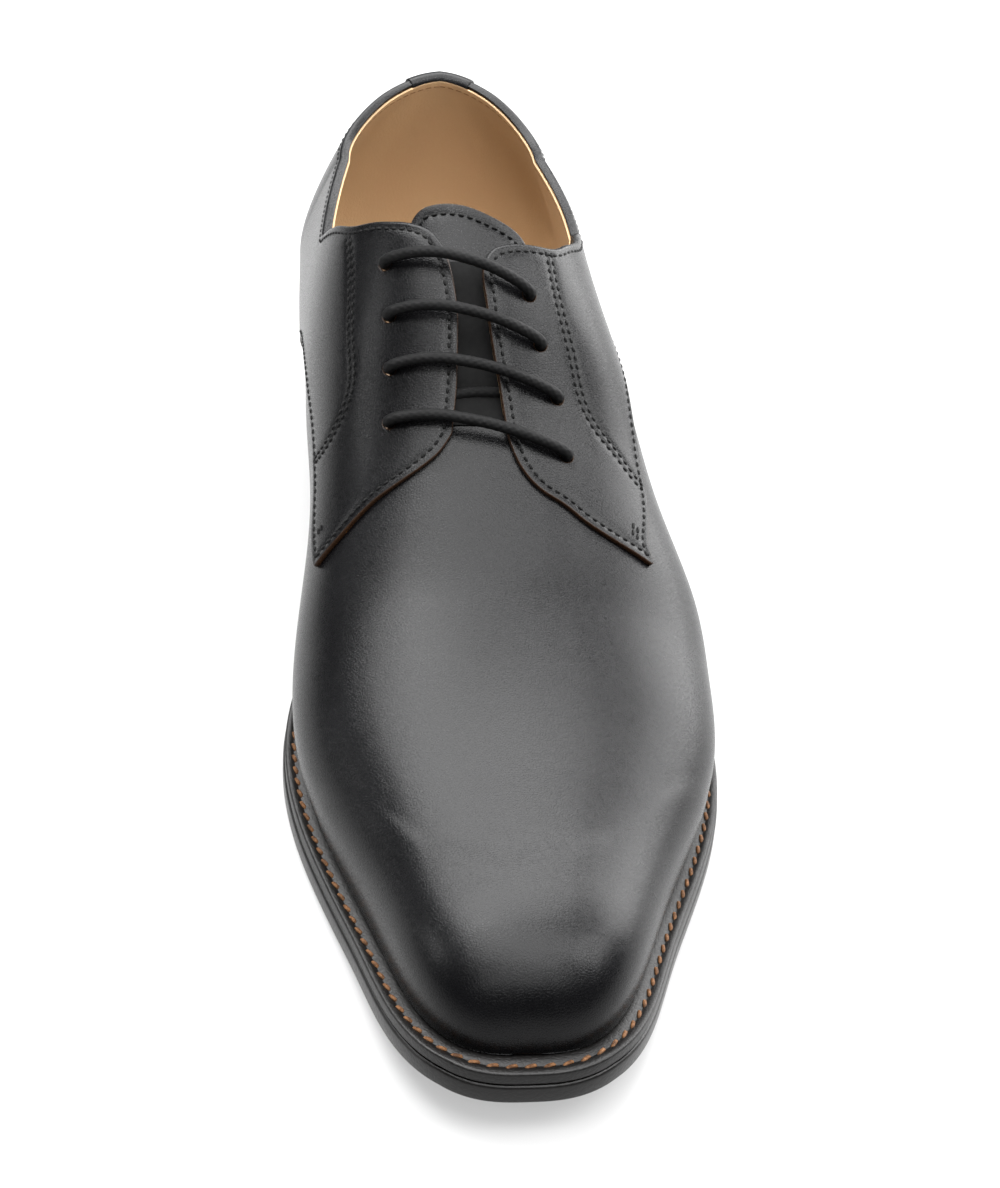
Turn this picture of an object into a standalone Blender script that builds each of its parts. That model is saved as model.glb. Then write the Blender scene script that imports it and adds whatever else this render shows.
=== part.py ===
"""Lace-up derby shoe, left foot: sole, welt, heel, insole, hollow upper, tongue, heel tab and lace bars.

Metres, +Z up. The toe points to -Y and the outer (lateral) side to +X. The origin is on the floor,
under the middle of the shoe's length. The heel and the ball of the sole stand on z = 0.
"""
import bpy
import bmesh
import numpy as np
from mathutils import Matrix, Vector

# Driving sizes
LAST_LENGTH = 0.2995      # heel seat to toe, along the upper's lower edge
BALL_WIDTH = 0.0935       # twice the half width that the section table follows
INSTEP_HEIGHT = 0.0780    # crest above the welt where the facings end
COLLAR_HEIGHT = 0.0590    # back of the collar above the seat
HEEL_HEIGHT = 0.0250      # floor to the sole at the back
TOE_SPRING = 0.0090       # floor to the sole at the toe's tip

# Thicknesses and clearances
OUTSOLE_THICK = 0.0054
WELT_THICK = 0.0034
TOP_LIFT_THICK = 0.0060
INSOLE_THICK = 0.0046
WALL = 0.0018             # vamp and lining together
OVERLAY = 0.0013          # quarter leather laid over the vamp
TONGUE_THICK = 0.0016
TAB_THICK = 0.0010
GAP = 0.0003
TONGUE_GAP = 0.0008       # more, as both faces curve there

# Ledge of the sole beyond the upper
TOE_LEDGE = 0.0062
BALL_LEDGE = 0.0056
WAIST_LEDGE = 0.0024
HEEL_LEDGE = 0.0022
WELT_INSET = 0.0004       # the welt's edge stands back from the outsole's

# Heel
HEEL_CENTRE_AT = 0.115    # station that the heel's round end turns about
HEEL_BULGE = 0.0024       # how far the back swells beyond its lower edge
HEEL_LEAN = 0.0045        # how far the back leans in again at the collar
BREAST_AT = 0.245         # station of the heel's front face
BREAST_HOLLOW = 0.0030
HEEL_TAPER = 0.0016       # the block narrows by this much to the floor

# Toe
TOE_ROUND_AT = 0.86       # station where the plan starts to close
TOE_ROUND = 3.0           # power of its closing curve
TIP_ROUND_AT = 0.90       # station where the crest starts to drop
TIP_ROUND = 2.3

# Lacing
SLOT_WIDTH = 0.0136
HOLE_DIAMETER = 0.0034
LACE_DIAMETER = 0.0026
LACE_RISE = 0.0022        # the bars bow this far off the facings
LACE_BAR_POINTS = 11

# Tongue and heel tab
TONGUE_ROOT_AT = 0.530
TONGUE_TOP_AT = 0.330
TONGUE_TOP_WIDTH = 0.0480
TONGUE_ROOT_WIDTH = 0.0360
TONGUE_TOP_ARC = 0.0034
TONGUE_TILT = 0.0016      # the lateral end of its top lies lower than the medial end by twice this
TAB_WIDTH = 0.0200
TAB_HEIGHT = 0.0280

# Sections of the last by station, 0 at the heel and 1 at the toe.
# medial, lateral, the swell beyond them and the crest's place across: shares of half the ball width.
# swell height and crest height: shares of the instep height. side, top: fullness of the curve.
SECTIONS = {
    "at": (0.10, 0.20, 0.28, 0.34, 0.40, 0.46, 0.54, 0.62, 0.70, 0.80, 0.90, 1.00),
    "medial": (0.69, 0.675, 0.62, 0.594, 0.643, 0.731, 0.85, 0.932, 0.904, 0.755, 0.59, 0.49),
    "lateral": (0.66, 0.674, 0.70, 0.762, 0.848, 0.932, 1.076, 1.14, 1.10, 0.89, 0.65, 0.51),
    "medial_swell": (0.124, 0.172, 0.24, 0.274, 0.22, 0.156, 0.11, 0.078, 0.072, 0.034, 0.026, 0.021),
    "lateral_swell": (0.06, 0.097, 0.078, 0.10, 0.12, 0.13, 0.124, 0.076, 0.068, 0.038, 0.030, 0.021),
    "swell_height": (0.26, 0.26, 0.26, 0.256, 0.244, 0.23, 0.205, 0.18, 0.154, 0.128, 0.115, 0.10),
    "crest_height": (1.19, 1.337, 1.239, 1.102, 1.00, 0.853, 0.705, 0.59, 0.50, 0.425, 0.365, 0.32),
    "crest_across": (0.004, 0.011, -0.039, -0.09, -0.101, -0.108, -0.097, -0.087, -0.064, -0.032, -0.017, 0.0),
    "side": (0.23, 0.36, 0.564, 0.639, 0.626, 0.591, 0.563, 0.561, 0.58, 0.60, 0.60, 0.60),
    "top": (0.16, 0.313, 0.432, 0.481, 0.49, 0.448, 0.47, 0.504, 0.56, 0.60, 0.62, 0.62),
}
# Underside of the sole: shares of the heel height, then of the toe spring
SOLE_LINE = {
    "at": (0.00, 0.12, 0.24, 0.34, 0.44, 0.54, 0.62, 0.70, 0.80, 0.90, 1.00),
    "heel": (1.00, 0.968, 0.88, 0.64, 0.33, 0.088, 0.0, 0.0, 0.0, 0.0, 0.0),
    "toe": (0.0, 0.0, 0.0, 0.0, 0.0, 0.0, 0.0, 0.0, 0.11, 0.445, 1.0),
}
# Collar edge above the welt, as a share of the collar height
COLLAR_LINE = {
    "at": (0.00, 0.02, 0.05, 0.10, 0.17, 0.24),
    "collar": (1.0, 0.993, 0.97, 0.885, 0.88, 0.896),
}
# Top edge of the facings: share of the way from the collar's front end to the slot's upper corner
FACING_TOP = {
    "at": (0.24, 0.272, 0.304, 0.33, 0.346, 0.3535, 0.359, 0.3665, 0.382),
    "medial": (0.0, 0.13, 0.294, 0.563, 0.782, 0.868, 0.905, 0.948, 1.0),
    "lateral": (0.0, 0.10, 0.22, 0.40, 0.537, 0.68, 0.80, 0.917, 1.0),
}
# Slot between the facings: its middle as a share of half the ball width, its width as a share of its own
SLOT = {
    "at": (0.382, 0.412, 0.438, 0.463, 0.493),
    "middle": (-0.061, -0.032, -0.021, -0.011, -0.011),
    "width": (0.537, 0.544, 0.654, 0.80, 1.0),
}
# Lower front edge of the facings on each side: share of the way from the slot's foot to the facing's tip
FRONT_EDGE = {
    "medial_at": (0.493, 0.505, 0.513, 0.52, 0.525, 0.531, 0.537, 0.541),
    "medial": (0.0, 0.09, 0.20, 0.36, 0.515, 0.645, 0.79, 1.0),
    "lateral_at": (0.493, 0.509, 0.522, 0.531, 0.538, 0.549, 0.556, 0.564),
    "lateral": (0.0, 0.04, 0.105, 0.19, 0.32, 0.475, 0.65, 1.0),
}
# Side seam, where the quarter lies over the vamp's wing: height above the welt in instep heights
SIDE_SEAM = {
    "at": (0.21, 0.235, 0.28, 0.34, 0.40, 0.45, 0.50, 0.541, 0.564),
    "medial": (0.0, 0.24, 0.36, 0.43, 0.445, 0.43, 0.41, 0.418, 0.418),
    "lateral": (0.0, 0.28, 0.46, 0.585, 0.60, 0.56, 0.527, 0.522, 0.49),
}
# Lace holes from the top down: station and place across in half ball widths, on each side
HOLES = {
    "medial_at": (0.3635, 0.402, 0.436, 0.4715),
    "medial": (-0.462, -0.454, -0.458, -0.468),
    "lateral_at": (0.3945, 0.425, 0.4565, 0.4975),
    "lateral": (0.274, 0.327, 0.41, 0.447),
}
# Ledge of the sole, by station: which named ledge holds there
LEDGE_AT = (0.0, 0.15, 0.36, 0.50, 0.62, 0.85, 1.0)
LEDGES = (HEEL_LEDGE, HEEL_LEDGE, WAIST_LEDGE, (WAIST_LEDGE + BALL_LEDGE) / 2, BALL_LEDGE, BALL_LEDGE, TOE_LEDGE)

MEDIAL, LATERAL = -1, 1
HALF_BALL = BALL_WIDTH / 2
NAMES = {MEDIAL: "medial", LATERAL: "lateral"}
COLLAR_END_AT, SLOT_TOP_AT, SLOT_FOOT_AT = FACING_TOP["at"][0], SLOT["at"][0], SLOT["at"][-1]
TIP_AT = {side: FRONT_EDGE[name + "_at"][-1] for side, name in NAMES.items()}
SWELL_V = 0.2             # share of a section's curve that lies below the swell
FAN_U = 0.2               # share of u that goes round the heel
CAP_U = 0.8               # u where the toe's rounding starts
origin = np.zeros(2)      # the heel seat's back edge in plan, set by centre_origin


def fair(xs, ys):
    """A natural spline through the rows of a table: one even sweep, for the last's own form."""
    x, y = np.array(xs, float), np.array(ys, float)
    n, h = len(x), np.diff(x)
    system, right = np.eye(n), np.zeros(n)
    for i in range(1, n - 1):
        system[i, i - 1:i + 2] = h[i - 1], 2 * (h[i - 1] + h[i]), h[i]
        right[i] = 6 * ((y[i + 1] - y[i]) / h[i] - (y[i] - y[i - 1]) / h[i - 1])
    bend = np.linalg.solve(system, right)

    def value(t):
        t = np.clip(np.asarray(t, float), x[0], x[-1])
        i = np.clip(np.searchsorted(x, t) - 1, 0, n - 2)
        a, b = (x[i + 1] - t) / h[i], (t - x[i]) / h[i]
        return (a * y[i] + b * y[i + 1]
                + ((a ** 3 - a) * bend[i] + (b ** 3 - b) * bend[i + 1]) * h[i] ** 2 / 6)
    return value


def through(xs, ys):
    """A curve through the rows of a table which never overshoots, so flats stay flat."""
    x, y = np.array(xs, float), np.array(ys, float)
    h, d = np.diff(x), np.diff(y) / np.diff(x)
    m = np.zeros(len(x))
    m[0], m[-1] = d[0], d[-1]
    for i in range(1, len(x) - 1):
        if d[i - 1] * d[i] > 0:
            w1, w2 = 2 * h[i] + h[i - 1], h[i] + 2 * h[i - 1]
            m[i] = (w1 + w2) / (w1 / d[i - 1] + w2 / d[i])

    def value(t):
        t = np.clip(np.asarray(t, float), x[0], x[-1])
        i = np.clip(np.searchsorted(x, t) - 1, 0, len(x) - 2)
        q = (t - x[i]) / h[i]
        return ((1 + 2 * q) * (1 - q) ** 2 * y[i] + q * (1 - q) ** 2 * h[i] * m[i]
                + q * q * (3 - 2 * q) * y[i + 1] + q * q * (q - 1) * h[i] * m[i + 1])
    return value


def columns(table, curve=through):
    return {name: curve(table["at"], values) for name, values in table.items() if name != "at"}


section = columns(SECTIONS, fair)
sole_line, collar_line, slot = (columns(table) for table in (SOLE_LINE, COLLAR_LINE, SLOT))
facing_top, seam_height = columns(FACING_TOP), columns(SIDE_SEAM)
front_share = {name: through(FRONT_EDGE[name + "_at"], FRONT_EDGE[name]) for name in NAMES.values()}
ledge = through(LEDGE_AT, LEDGES)


def floor_z(at):
    """Underside of the outsole."""
    return sole_line["heel"](at) * HEEL_HEIGHT + sole_line["toe"](at) * TOE_SPRING


def sole_top(at):
    """Where the welt and the insole lie, just above the outsole."""
    return floor_z(at) + OUTSOLE_THICK + GAP


def seat_z(at):
    """Lower edge of the upper, just above the welt."""
    return sole_top(at) + WELT_THICK + GAP


def collar_z(at):
    return seat_z(at) + collar_line["collar"](at) * COLLAR_HEIGHT


def closing(at, start, power):
    """1 behind the start station, falling to 0 at the toe along a rounded corner."""
    return (1 - np.clip((at - start) / (1 - start), 0, 1) ** power) ** (1 / power)


def bezier(a, b, c, d, t):
    return (1 - t) ** 3 * a + 3 * (1 - t) ** 2 * t * b + 3 * (1 - t) * t * t * c + t ** 3 * d


def half_section(at, side, v):
    """Distance from the middle and height of one side of a cross section; v runs 0 to 1 up to the crest."""
    lateral = side > 0
    close, drop = closing(at, TOE_ROUND_AT, TOE_ROUND), closing(at, TIP_ROUND_AT, TIP_ROUND)
    half = np.where(lateral, section["lateral"](at), section["medial"](at)) * HALF_BALL * close
    swell = np.where(lateral, section["lateral_swell"](at), section["medial_swell"](at)) * HALF_BALL * close
    crest, belly = (section[n](at) * INSTEP_HEIGHT * drop for n in ("crest_height", "swell_height"))
    middle = section["crest_across"](at) * HALF_BALL * close * side
    widest = half + swell
    below = v < SWELL_V
    t = np.where(below, v / SWELL_V, (v - SWELL_V) / (1 - SWELL_V))
    out = np.where(below, bezier(half, half + 0.55 * swell, widest, widest, t),
                   bezier(widest, widest, middle + section["top"](at) * (widest - middle), middle, t))
    up = np.where(below, bezier(0 * half, 0.3 * belly, 0.62 * belly, belly, t),
                  bezier(belly, belly + section["side"](at) * (crest - belly), crest, crest, t))
    return out, up + seat_z(at)


def station(u):
    """Station of u ahead of the heel's fan; the toe's rounding takes its last stretch."""
    straight = HEEL_CENTRE_AT + (TOE_ROUND_AT - HEEL_CENTRE_AT) * (u - FAN_U) / (CAP_U - FAN_U)
    turn = np.sin(np.clip((u - CAP_U) / (1 - CAP_U), 0, 1) * np.pi / 2) ** (2 / TOE_ROUND)
    return np.where(u < CAP_U, straight, np.minimum(TOE_ROUND_AT + (1 - TOE_ROUND_AT) * turn, 1 - 1e-6))


def along(u):
    """Station used to read the tables, which also runs down to 0 round the heel."""
    return np.where(u < FAN_U, HEEL_CENTRE_AT * u / FAN_U, station(np.maximum(u, FAN_U)))


def u_at(at):
    """u of a station between the heel's fan and the toe's rounding."""
    return FAN_U + (CAP_U - FAN_U) * (at - HEEL_CENTRE_AT) / (TOE_ROUND_AT - HEEL_CENTRE_AT)


def last_point(u, side, v):
    """A point of the upper's outer form. Past u = 0 or v = 1 the surface goes on over to the other side."""
    u, side, v = (np.asarray(a, float) for a in np.broadcast_arrays(u, side, v))
    side = np.where((u < 0) ^ (v > 1), -side, side)
    u, v = np.abs(u), np.where(v > 1, 2 - v, v)
    at = station(np.maximum(u, FAN_U))
    out, up = half_section(at, side, v)
    x, y, z = side * out, at * LAST_LENGTH, up
    # Round the heel the sections fan out about a centre and turn into the back's own curve
    centre = HEEL_CENTRE_AT * LAST_LENGTH
    turn = np.clip(u / FAN_U, 0, 1) * np.pi / 2
    belly, crest = (section[n](HEEL_CENTRE_AT) * INSTEP_HEIGHT for n in ("swell_height", "crest_height"))
    widest = centre + HEEL_BULGE
    below = v < SWELL_V
    t = np.where(below, v / SWELL_V, (v - SWELL_V) / (1 - SWELL_V))
    back = np.where(below, bezier(centre, centre + 0.55 * HEEL_BULGE, widest, widest, t),
                    bezier(widest, widest, widest - 2.2 * HEEL_LEAN, widest - 2.4 * HEEL_LEAN, t))
    rise = np.where(below, bezier(0, 0.3 * belly, 0.62 * belly, belly, t),
                    bezier(belly, belly + 0.33 * (crest - belly), belly + 0.67 * (crest - belly), crest, t))
    power = 2.2 - 0.7 * np.clip((v - 0.1) / 0.6, 0, 1)
    mix = np.sin(turn) ** 2
    fan = u < FAN_U
    x = np.where(fan, side * out * np.sin(turn) ** (2 / power), x)
    y = np.where(fan, centre - back * np.abs(np.cos(turn)) ** (2 / power), y)
    z = np.where(fan, up * mix + (rise + seat_z(0.0)) * (1 - mix), z)
    return np.stack([x - origin[0], origin[1] - y, z], -1)


def normal(u, side, v, step=2e-3):
    """Outward direction of the last's surface."""
    along_u = last_point(u + step, side, v) - last_point(u - step, side, v)
    along_v = last_point(u, side, v + step) - last_point(u, side, v - step)
    n = np.cross(along_u, along_v) * -np.asarray(side, float)[..., None]
    return n / np.maximum(np.linalg.norm(n, axis=-1, keepdims=True), 1e-12)


def offset_point(u, side, v, distance):
    u, side, v, distance = (np.asarray(a, float) for a in np.broadcast_arrays(u, side, v, distance))
    return last_point(u, side, v) + normal(u, side, v) * distance[..., None]


def solve_v(test, shape, low=0.0):
    """The v where a rising test turns true, by halving."""
    lo, hi = np.full(shape, low), np.ones(shape)
    for _ in range(36):
        mid = (lo + hi) / 2
        past = test(mid)
        lo, hi = np.where(past, lo, mid), np.where(past, mid, hi)
    return (lo + hi) / 2


def v_at_height(u, side, z):
    u, z = (np.asarray(a, float) for a in np.broadcast_arrays(u, z))
    return solve_v(lambda v: last_point(u, side, v)[..., 2] >= z, u.shape)


def v_across(at, x):
    """Side and v where the section at a station reaches a place across the crest."""
    at, x = (np.asarray(a, float) for a in np.broadcast_arrays(at, x))
    side = np.where(x >= section["crest_across"](at) * HALF_BALL, 1.0, -1.0)
    return side, solve_v(lambda v: half_section(at, side, v)[0] <= x * side, at.shape, SWELL_V)


def slot_edge(at, side):
    """v of the facing's edge along the slot."""
    x = slot["middle"](at) * HALF_BALL + side * slot["width"](at) * SLOT_WIDTH / 2
    return v_across(at, x)[1]


def seam_v(at, side):
    """v of the side seam, and ahead of the facing's tip the same place carried on."""
    held = np.clip(at, SIDE_SEAM["at"][0], TIP_AT[side])
    z = seat_z(held) + seam_height[NAMES[side]](held) * INSTEP_HEIGHT
    return np.where(at < SIDE_SEAM["at"][0], 0.0, v_at_height(u_at(held), side, z))


def front_v(at, side):
    """v of the quarter's upper edge: the collar, the slot's edge, then the lower front edge."""
    at = np.asarray(at, float)
    foot, tip = slot_edge(SLOT_FOOT_AT, side), seam_v(np.array(TIP_AT[side]), side)
    front = foot + (tip - foot) * front_share[NAMES[side]](at)
    return np.where(at <= SLOT_FOOT_AT, slot_edge(np.clip(at, SLOT_TOP_AT, SLOT_FOOT_AT), side), front)


def top_v(u, side):
    """v where the upper ends: collar, facing's top, slot, or the crest where it is closed."""
    at = along(u)
    collar = v_at_height(u, side, collar_z(np.minimum(at, COLLAR_END_AT)))
    end = v_at_height(u_at(COLLAR_END_AT), side, collar_z(COLLAR_END_AT))
    facing = end + (slot_edge(SLOT_TOP_AT, side) - end) * facing_top[NAMES[side]](at)
    rim = np.where(at < COLLAR_END_AT, collar, facing)
    return np.where(at < SLOT_TOP_AT, rim, np.where(at <= SLOT_FOOT_AT + 1e-9, front_v(at, side), 1.0))


# Materials
def material(name, colour, roughness, metallic=0.0):
    mat = bpy.data.materials.new(name)
    mat.use_nodes = True
    shader = mat.node_tree.nodes["Principled BSDF"]
    shader.inputs["Base Color"].default_value = (*colour, 1)
    shader.inputs["Roughness"].default_value = roughness
    shader.inputs["Metallic"].default_value = metallic
    mat.diffuse_color = (*colour, 1)
    return mat


# Mesh helpers
def new_object(name, mesh, collection, mat=None):
    obj = bpy.data.objects.new(name, mesh)
    collection.objects.link(obj)
    if mat:
        obj.data.materials.append(mat)
    return obj


def shell(name, outer, inner, collection, mat):
    """A closed wall between two grids of points; grid corners that coincide become one vertex."""
    cols, rows = outer.shape[:2]
    index, first = {}, []
    which = np.empty((cols, rows), int)
    for c in range(cols):
        for r in range(rows):
            key = tuple(np.round(outer[c, r] * 1e6).astype(int))
            if key not in index:
                index[key] = len(first)
                first.append((c, r))
            which[c, r] = index[key]
    bm = bmesh.new()
    skins = [[bm.verts.new(grid[c, r]) for c, r in first] for grid in (outer, inner)]
    edges = {}
    for c in range(cols - 1):
        for r in range(rows - 1):
            loop = [which[c, r], which[c + 1, r], which[c + 1, r + 1], which[c, r + 1]]
            loop = [v for k, v in enumerate(loop) if v != loop[k - 1]]
            if len(set(loop)) < 3:
                continue
            bm.faces.new([skins[0][v] for v in loop])
            bm.faces.new([skins[1][v] for v in reversed(loop)])
            for a, b in zip(loop, loop[1:] + loop[:1]):
                if (b, a) in edges:
                    del edges[(b, a)]
                else:
                    edges[(a, b)] = True
    for a, b in edges:
        bm.faces.new([skins[0][b], skins[0][a], skins[1][a], skins[1][b]])
    bmesh.ops.recalc_face_normals(bm, faces=bm.faces)
    mesh = bpy.data.meshes.new(name)
    bm.to_mesh(mesh)
    bm.free()
    mesh.shade_smooth()
    mesh.set_sharp_from_angle(angle=0.6)
    return new_object(name, mesh, collection, mat)


def curve_to_mesh(obj):
    """The same shape as a closed mesh, which a Boolean can use."""
    bpy.context.view_layer.update()
    evaluated = obj.evaluated_get(bpy.context.evaluated_depsgraph_get())
    mesh = bpy.data.meshes.new_from_object(evaluated)
    bm = bmesh.new()
    bm.from_mesh(mesh)
    bmesh.ops.remove_doubles(bm, verts=bm.verts, dist=1e-6)
    bm.to_mesh(mesh)
    bm.free()
    name, curve = obj.name, obj.data
    made = bpy.data.objects.new(name, mesh)
    made.matrix_world = obj.matrix_world.copy()
    bpy.data.objects.remove(obj)
    bpy.data.curves.remove(curve)
    made.name = name
    return made


def flat_prism(name, outlines, half_depth, matrix):
    """A slab with a 2D outline, and a second outline as its hole."""
    curve = bpy.data.curves.new(name, "CURVE")
    curve.dimensions = "2D"
    curve.fill_mode = "BOTH"
    curve.extrude = half_depth
    for outline in outlines:
        spline = curve.splines.new("POLY")
        spline.points.add(len(outline) - 1)
        for point, (a, b) in zip(spline.points, outline):
            point.co = (a, b, 0, 1)
        spline.use_cyclic_u = True
    obj = bpy.data.objects.new(name, curve)
    obj.matrix_world = matrix
    bpy.context.collection.objects.link(obj)
    return curve_to_mesh(obj)


def boolean(obj, cutter, operation):
    cutter.hide_render = True
    cutter.display_type = "WIRE"
    mod = obj.modifiers.new(cutter.name, "BOOLEAN")
    mod.operation = operation
    mod.solver = "EXACT"
    mod.object = cutter


# Outlines in plan
def plan_outline(grow):
    """The upper's lower edge moved outward by grow, as one loop seen from above."""
    loop = []
    for side in (LATERAL, MEDIAL):
        u = np.concatenate([np.linspace(0, FAN_U, 10)[:-1], np.linspace(FAN_U, CAP_U, 24),
                            np.linspace(CAP_U, 1, 14)[1:]])
        edge = last_point(u, side, 0 * u)[:, :2]
        ahead = last_point(u + 1e-3, side, 0 * u)[:, :2] - last_point(u - 1e-3, side, 0 * u)[:, :2]
        out = np.stack([-ahead[:, 1], ahead[:, 0]], -1) * side
        out /= np.linalg.norm(out, axis=1)[:, None]
        out[0], out[-1] = (0, 1), (0, -1)
        amount = grow(along(u)) if callable(grow) else np.full(len(u), grow)
        edge = edge + out * amount[:, None]
        loop.append(edge if side == LATERAL else edge[::-1][1:-1])
    return np.concatenate(loop)


def y_at(at):
    return origin[1] - at * LAST_LENGTH


def centre_origin():
    """Puts the origin under the middle of the shoe's width and length, the heel tab included."""
    outline = plan_outline(ledge)
    back = offset_point(0.0, LATERAL, np.linspace(0, 0.6, 61), OVERLAY + GAP + TAB_THICK)[:, 1].max()
    origin[0] += (outline[:, 0].max() + outline[:, 0].min()) / 2
    origin[1] -= (max(outline[:, 1].max(), back) + outline[:, 1].min()) / 2


def side_band(name, low, high, first=-0.03, last=1.05):
    """A slab across the shoe whose underside and top follow two height functions of the station."""
    at = np.concatenate([[first], np.linspace(0.0, 0.56, 19), [0.60, 0.62, 0.70], np.linspace(0.73, 1.0, 10), [last]])
    held = np.clip(at, 0, 1)
    under = list(zip(y_at(at), low(held)))
    over = list(zip(y_at(at), high(held)))
    to_world = Matrix(((0, 0, 1, 0), (1, 0, 0, 0), (0, 1, 0, 0), (0, 0, 0, 1)))
    return flat_prism(name, [under + over[::-1]], 0.09, to_world)


# Pieces
def outsole(parts, cutters, mat):
    slab = flat_prism("outsole", [plan_outline(ledge)], 0.06, Matrix())
    band = side_band("outsole_band", floor_z, lambda at: floor_z(at) + OUTSOLE_THICK)
    link(slab, parts, mat)
    link(band, cutters)
    boolean(slab, band, "INTERSECT")


def welt(parts, cutters, mat):
    inner = plan_outline(-(WALL + GAP) + GAP)
    outer = plan_outline(lambda at: ledge(at) - WELT_INSET)
    slab = flat_prism("welt", [outer, inner], 0.06, Matrix())
    band = side_band("welt_band", sole_top, lambda at: sole_top(at) + WELT_THICK)
    link(slab, parts, mat)
    link(band, cutters)
    boolean(slab, band, "INTERSECT")


def insole(parts, cutters, mat):
    slab = flat_prism("insole", [plan_outline(-(WALL + 2 * GAP))], 0.06, Matrix())
    band = side_band("insole_band", sole_top, lambda at: sole_top(at) + INSOLE_THICK)
    link(slab, parts, mat)
    link(band, cutters)
    boolean(slab, band, "INTERSECT")


def heel_ring(inset):
    """The heel's plan, cut off at the breast, which is a shallow hollow."""
    breast = y_at(BREAST_AT)
    loop = plan_outline(lambda at: ledge(at) - inset)
    kept = plan_outline(ledge)[:, 1] > breast + 0.001
    half = int(np.argmin(kept))
    lateral, medial = loop[:half], loop[half:][kept[half:]]
    ends = []
    for line in (lateral[::-1], medial):
        ahead = line[0] + (line[0] - line[1]) * (line[0, 1] - breast) / (line[1, 1] - line[0, 1])
        ends.append(ahead)
    t = np.linspace(0, 1, 9)[:, None]
    front = ends[0] + (ends[1] - ends[0]) * t
    front[:, 1] += BREAST_HOLLOW * (1 - (2 * t[:, 0] - 1) ** 2)
    return np.concatenate([lateral, front, medial])


def heel_block(name, low_z, high_z, parts, cutters, mat, band=None):
    """A tapered block of the heel's plan between two levels."""
    bm = bmesh.new()
    rings = []
    for z in (low_z, high_z):
        inset = HEEL_TAPER * (1 - z / HEEL_HEIGHT)
        rings.append([bm.verts.new((x, y, z)) for x, y in heel_ring(inset)])
    count = len(rings[0])
    for i in range(count):
        j = (i + 1) % count
        bm.faces.new([rings[0][i], rings[0][j], rings[1][j], rings[1][i]])
    bm.faces.new(rings[0][::-1])
    bm.faces.new(rings[1])
    bmesh.ops.recalc_face_normals(bm, faces=bm.faces)
    mesh = bpy.data.meshes.new(name)
    bm.to_mesh(mesh)
    bm.free()
    obj = new_object(name, mesh, parts, mat)
    if band:
        link(band, cutters)
        boolean(obj, band, "INTERSECT")
    return obj


def link(obj, collection, mat=None):
    for users in list(obj.users_collection):
        users.objects.unlink(obj)
    collection.objects.link(obj)
    if mat:
        obj.data.materials.append(mat)


def upper_columns():
    """u of the upper's columns, denser where an edge turns."""
    return np.concatenate([
        np.linspace(0, FAN_U, 9)[:-1],
        np.linspace(FAN_U, u_at(COLLAR_END_AT), 6)[:-1],
        u_at(np.array(FACING_TOP["at"][:-1])),
        np.linspace(u_at(SLOT_TOP_AT), u_at(SLOT_FOOT_AT), 7),
        u_at(np.linspace(SLOT_FOOT_AT, TIP_AT[MEDIAL], 5)[1:]),
        [u_at((TIP_AT[MEDIAL] + TIP_AT[LATERAL]) / 2)],
        np.linspace(u_at(TIP_AT[LATERAL]), CAP_U, 10),
        np.linspace(CAP_U, 1, 9)[1:],
    ])


def upper_side(side):
    """Grids of the outer and inner skin of one side; rows follow the seam, the quarter and the vamp."""
    u = upper_columns()
    at = along(u)
    top = top_v(u, side)
    closed = at > SLOT_FOOT_AT + 1e-9
    seam = np.minimum(seam_v(at, side), top)
    front = np.where(closed, front_v(at, side), top)
    facing = at < TIP_AT[side] - 1e-9
    front = np.where(facing, front, seam)
    edge_run = np.where(facing, 0.004, 0.0)            # the overlay's edge is a steep face, not a cliff
    lift = np.where(facing, OVERLAY, 0.0)
    quarter = np.maximum(front - seam - 2 * edge_run, 0)
    rows = [(seam * t, 0 * lift) for t in np.linspace(0, 1, 6)]
    rows += [(np.minimum(seam + edge_run, front) + quarter * t, lift) for t in np.linspace(0, 1, 13)]
    rows += [(front + (top - front) * t, np.where(closed, 0.0, lift)) for t in np.linspace(0, 1, 8)]
    v, lift = (np.stack(column, 1) for column in zip(*rows))
    u = np.repeat(u[:, None], v.shape[1], 1)
    outer, inner = offset_point(u, side, v, lift), offset_point(u, side, v, -WALL)
    for skin in (outer, inner):     # where the wall leans out, its offset would dip into the welt
        skin[..., 2] = np.maximum(skin[..., 2], outer[:, :1, 2])
    return outer, inner


def upper(parts, cutters, mat):
    lateral_out, lateral_in = upper_side(LATERAL)
    medial_out, medial_in = upper_side(MEDIAL)
    outer = np.concatenate([lateral_out[::-1], medial_out[1:]])
    inner = np.concatenate([lateral_in[::-1], medial_in[1:]])
    obj = shell("upper", outer, inner, parts, mat)
    for k, (place, direction) in enumerate(hole_frames()):
        bpy.ops.mesh.primitive_cylinder_add(vertices=16, radius=HOLE_DIAMETER / 2, depth=0.014)
        cutter = bpy.context.object
        cutter.name = f"hole_cutter_{k}"
        cutter.matrix_world = Matrix.Translation(place) @ direction.to_track_quat("Z", "Y").to_matrix().to_4x4()
        link(cutter, cutters)
        boolean(obj, cutter, "DIFFERENCE")
    return obj


def hole_places():
    """u, side and v of each lace hole, as pairs from medial to lateral."""
    pairs = []
    for k in range(len(HOLES["medial"])):
        pair = []
        for name in ("medial", "lateral"):
            at = HOLES[name + "_at"][k]
            side, v = v_across(at, HOLES[name][k] * HALF_BALL)
            pair.append((float(u_at(at)), float(side), float(v)))
        pairs.append(pair)
    return pairs


def hole_frames():
    for pair in hole_places():
        for u, side, v in pair:
            yield Vector(last_point(u, side, v)), Vector(normal(np.array(u), np.array(side), np.array(v)))


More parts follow.
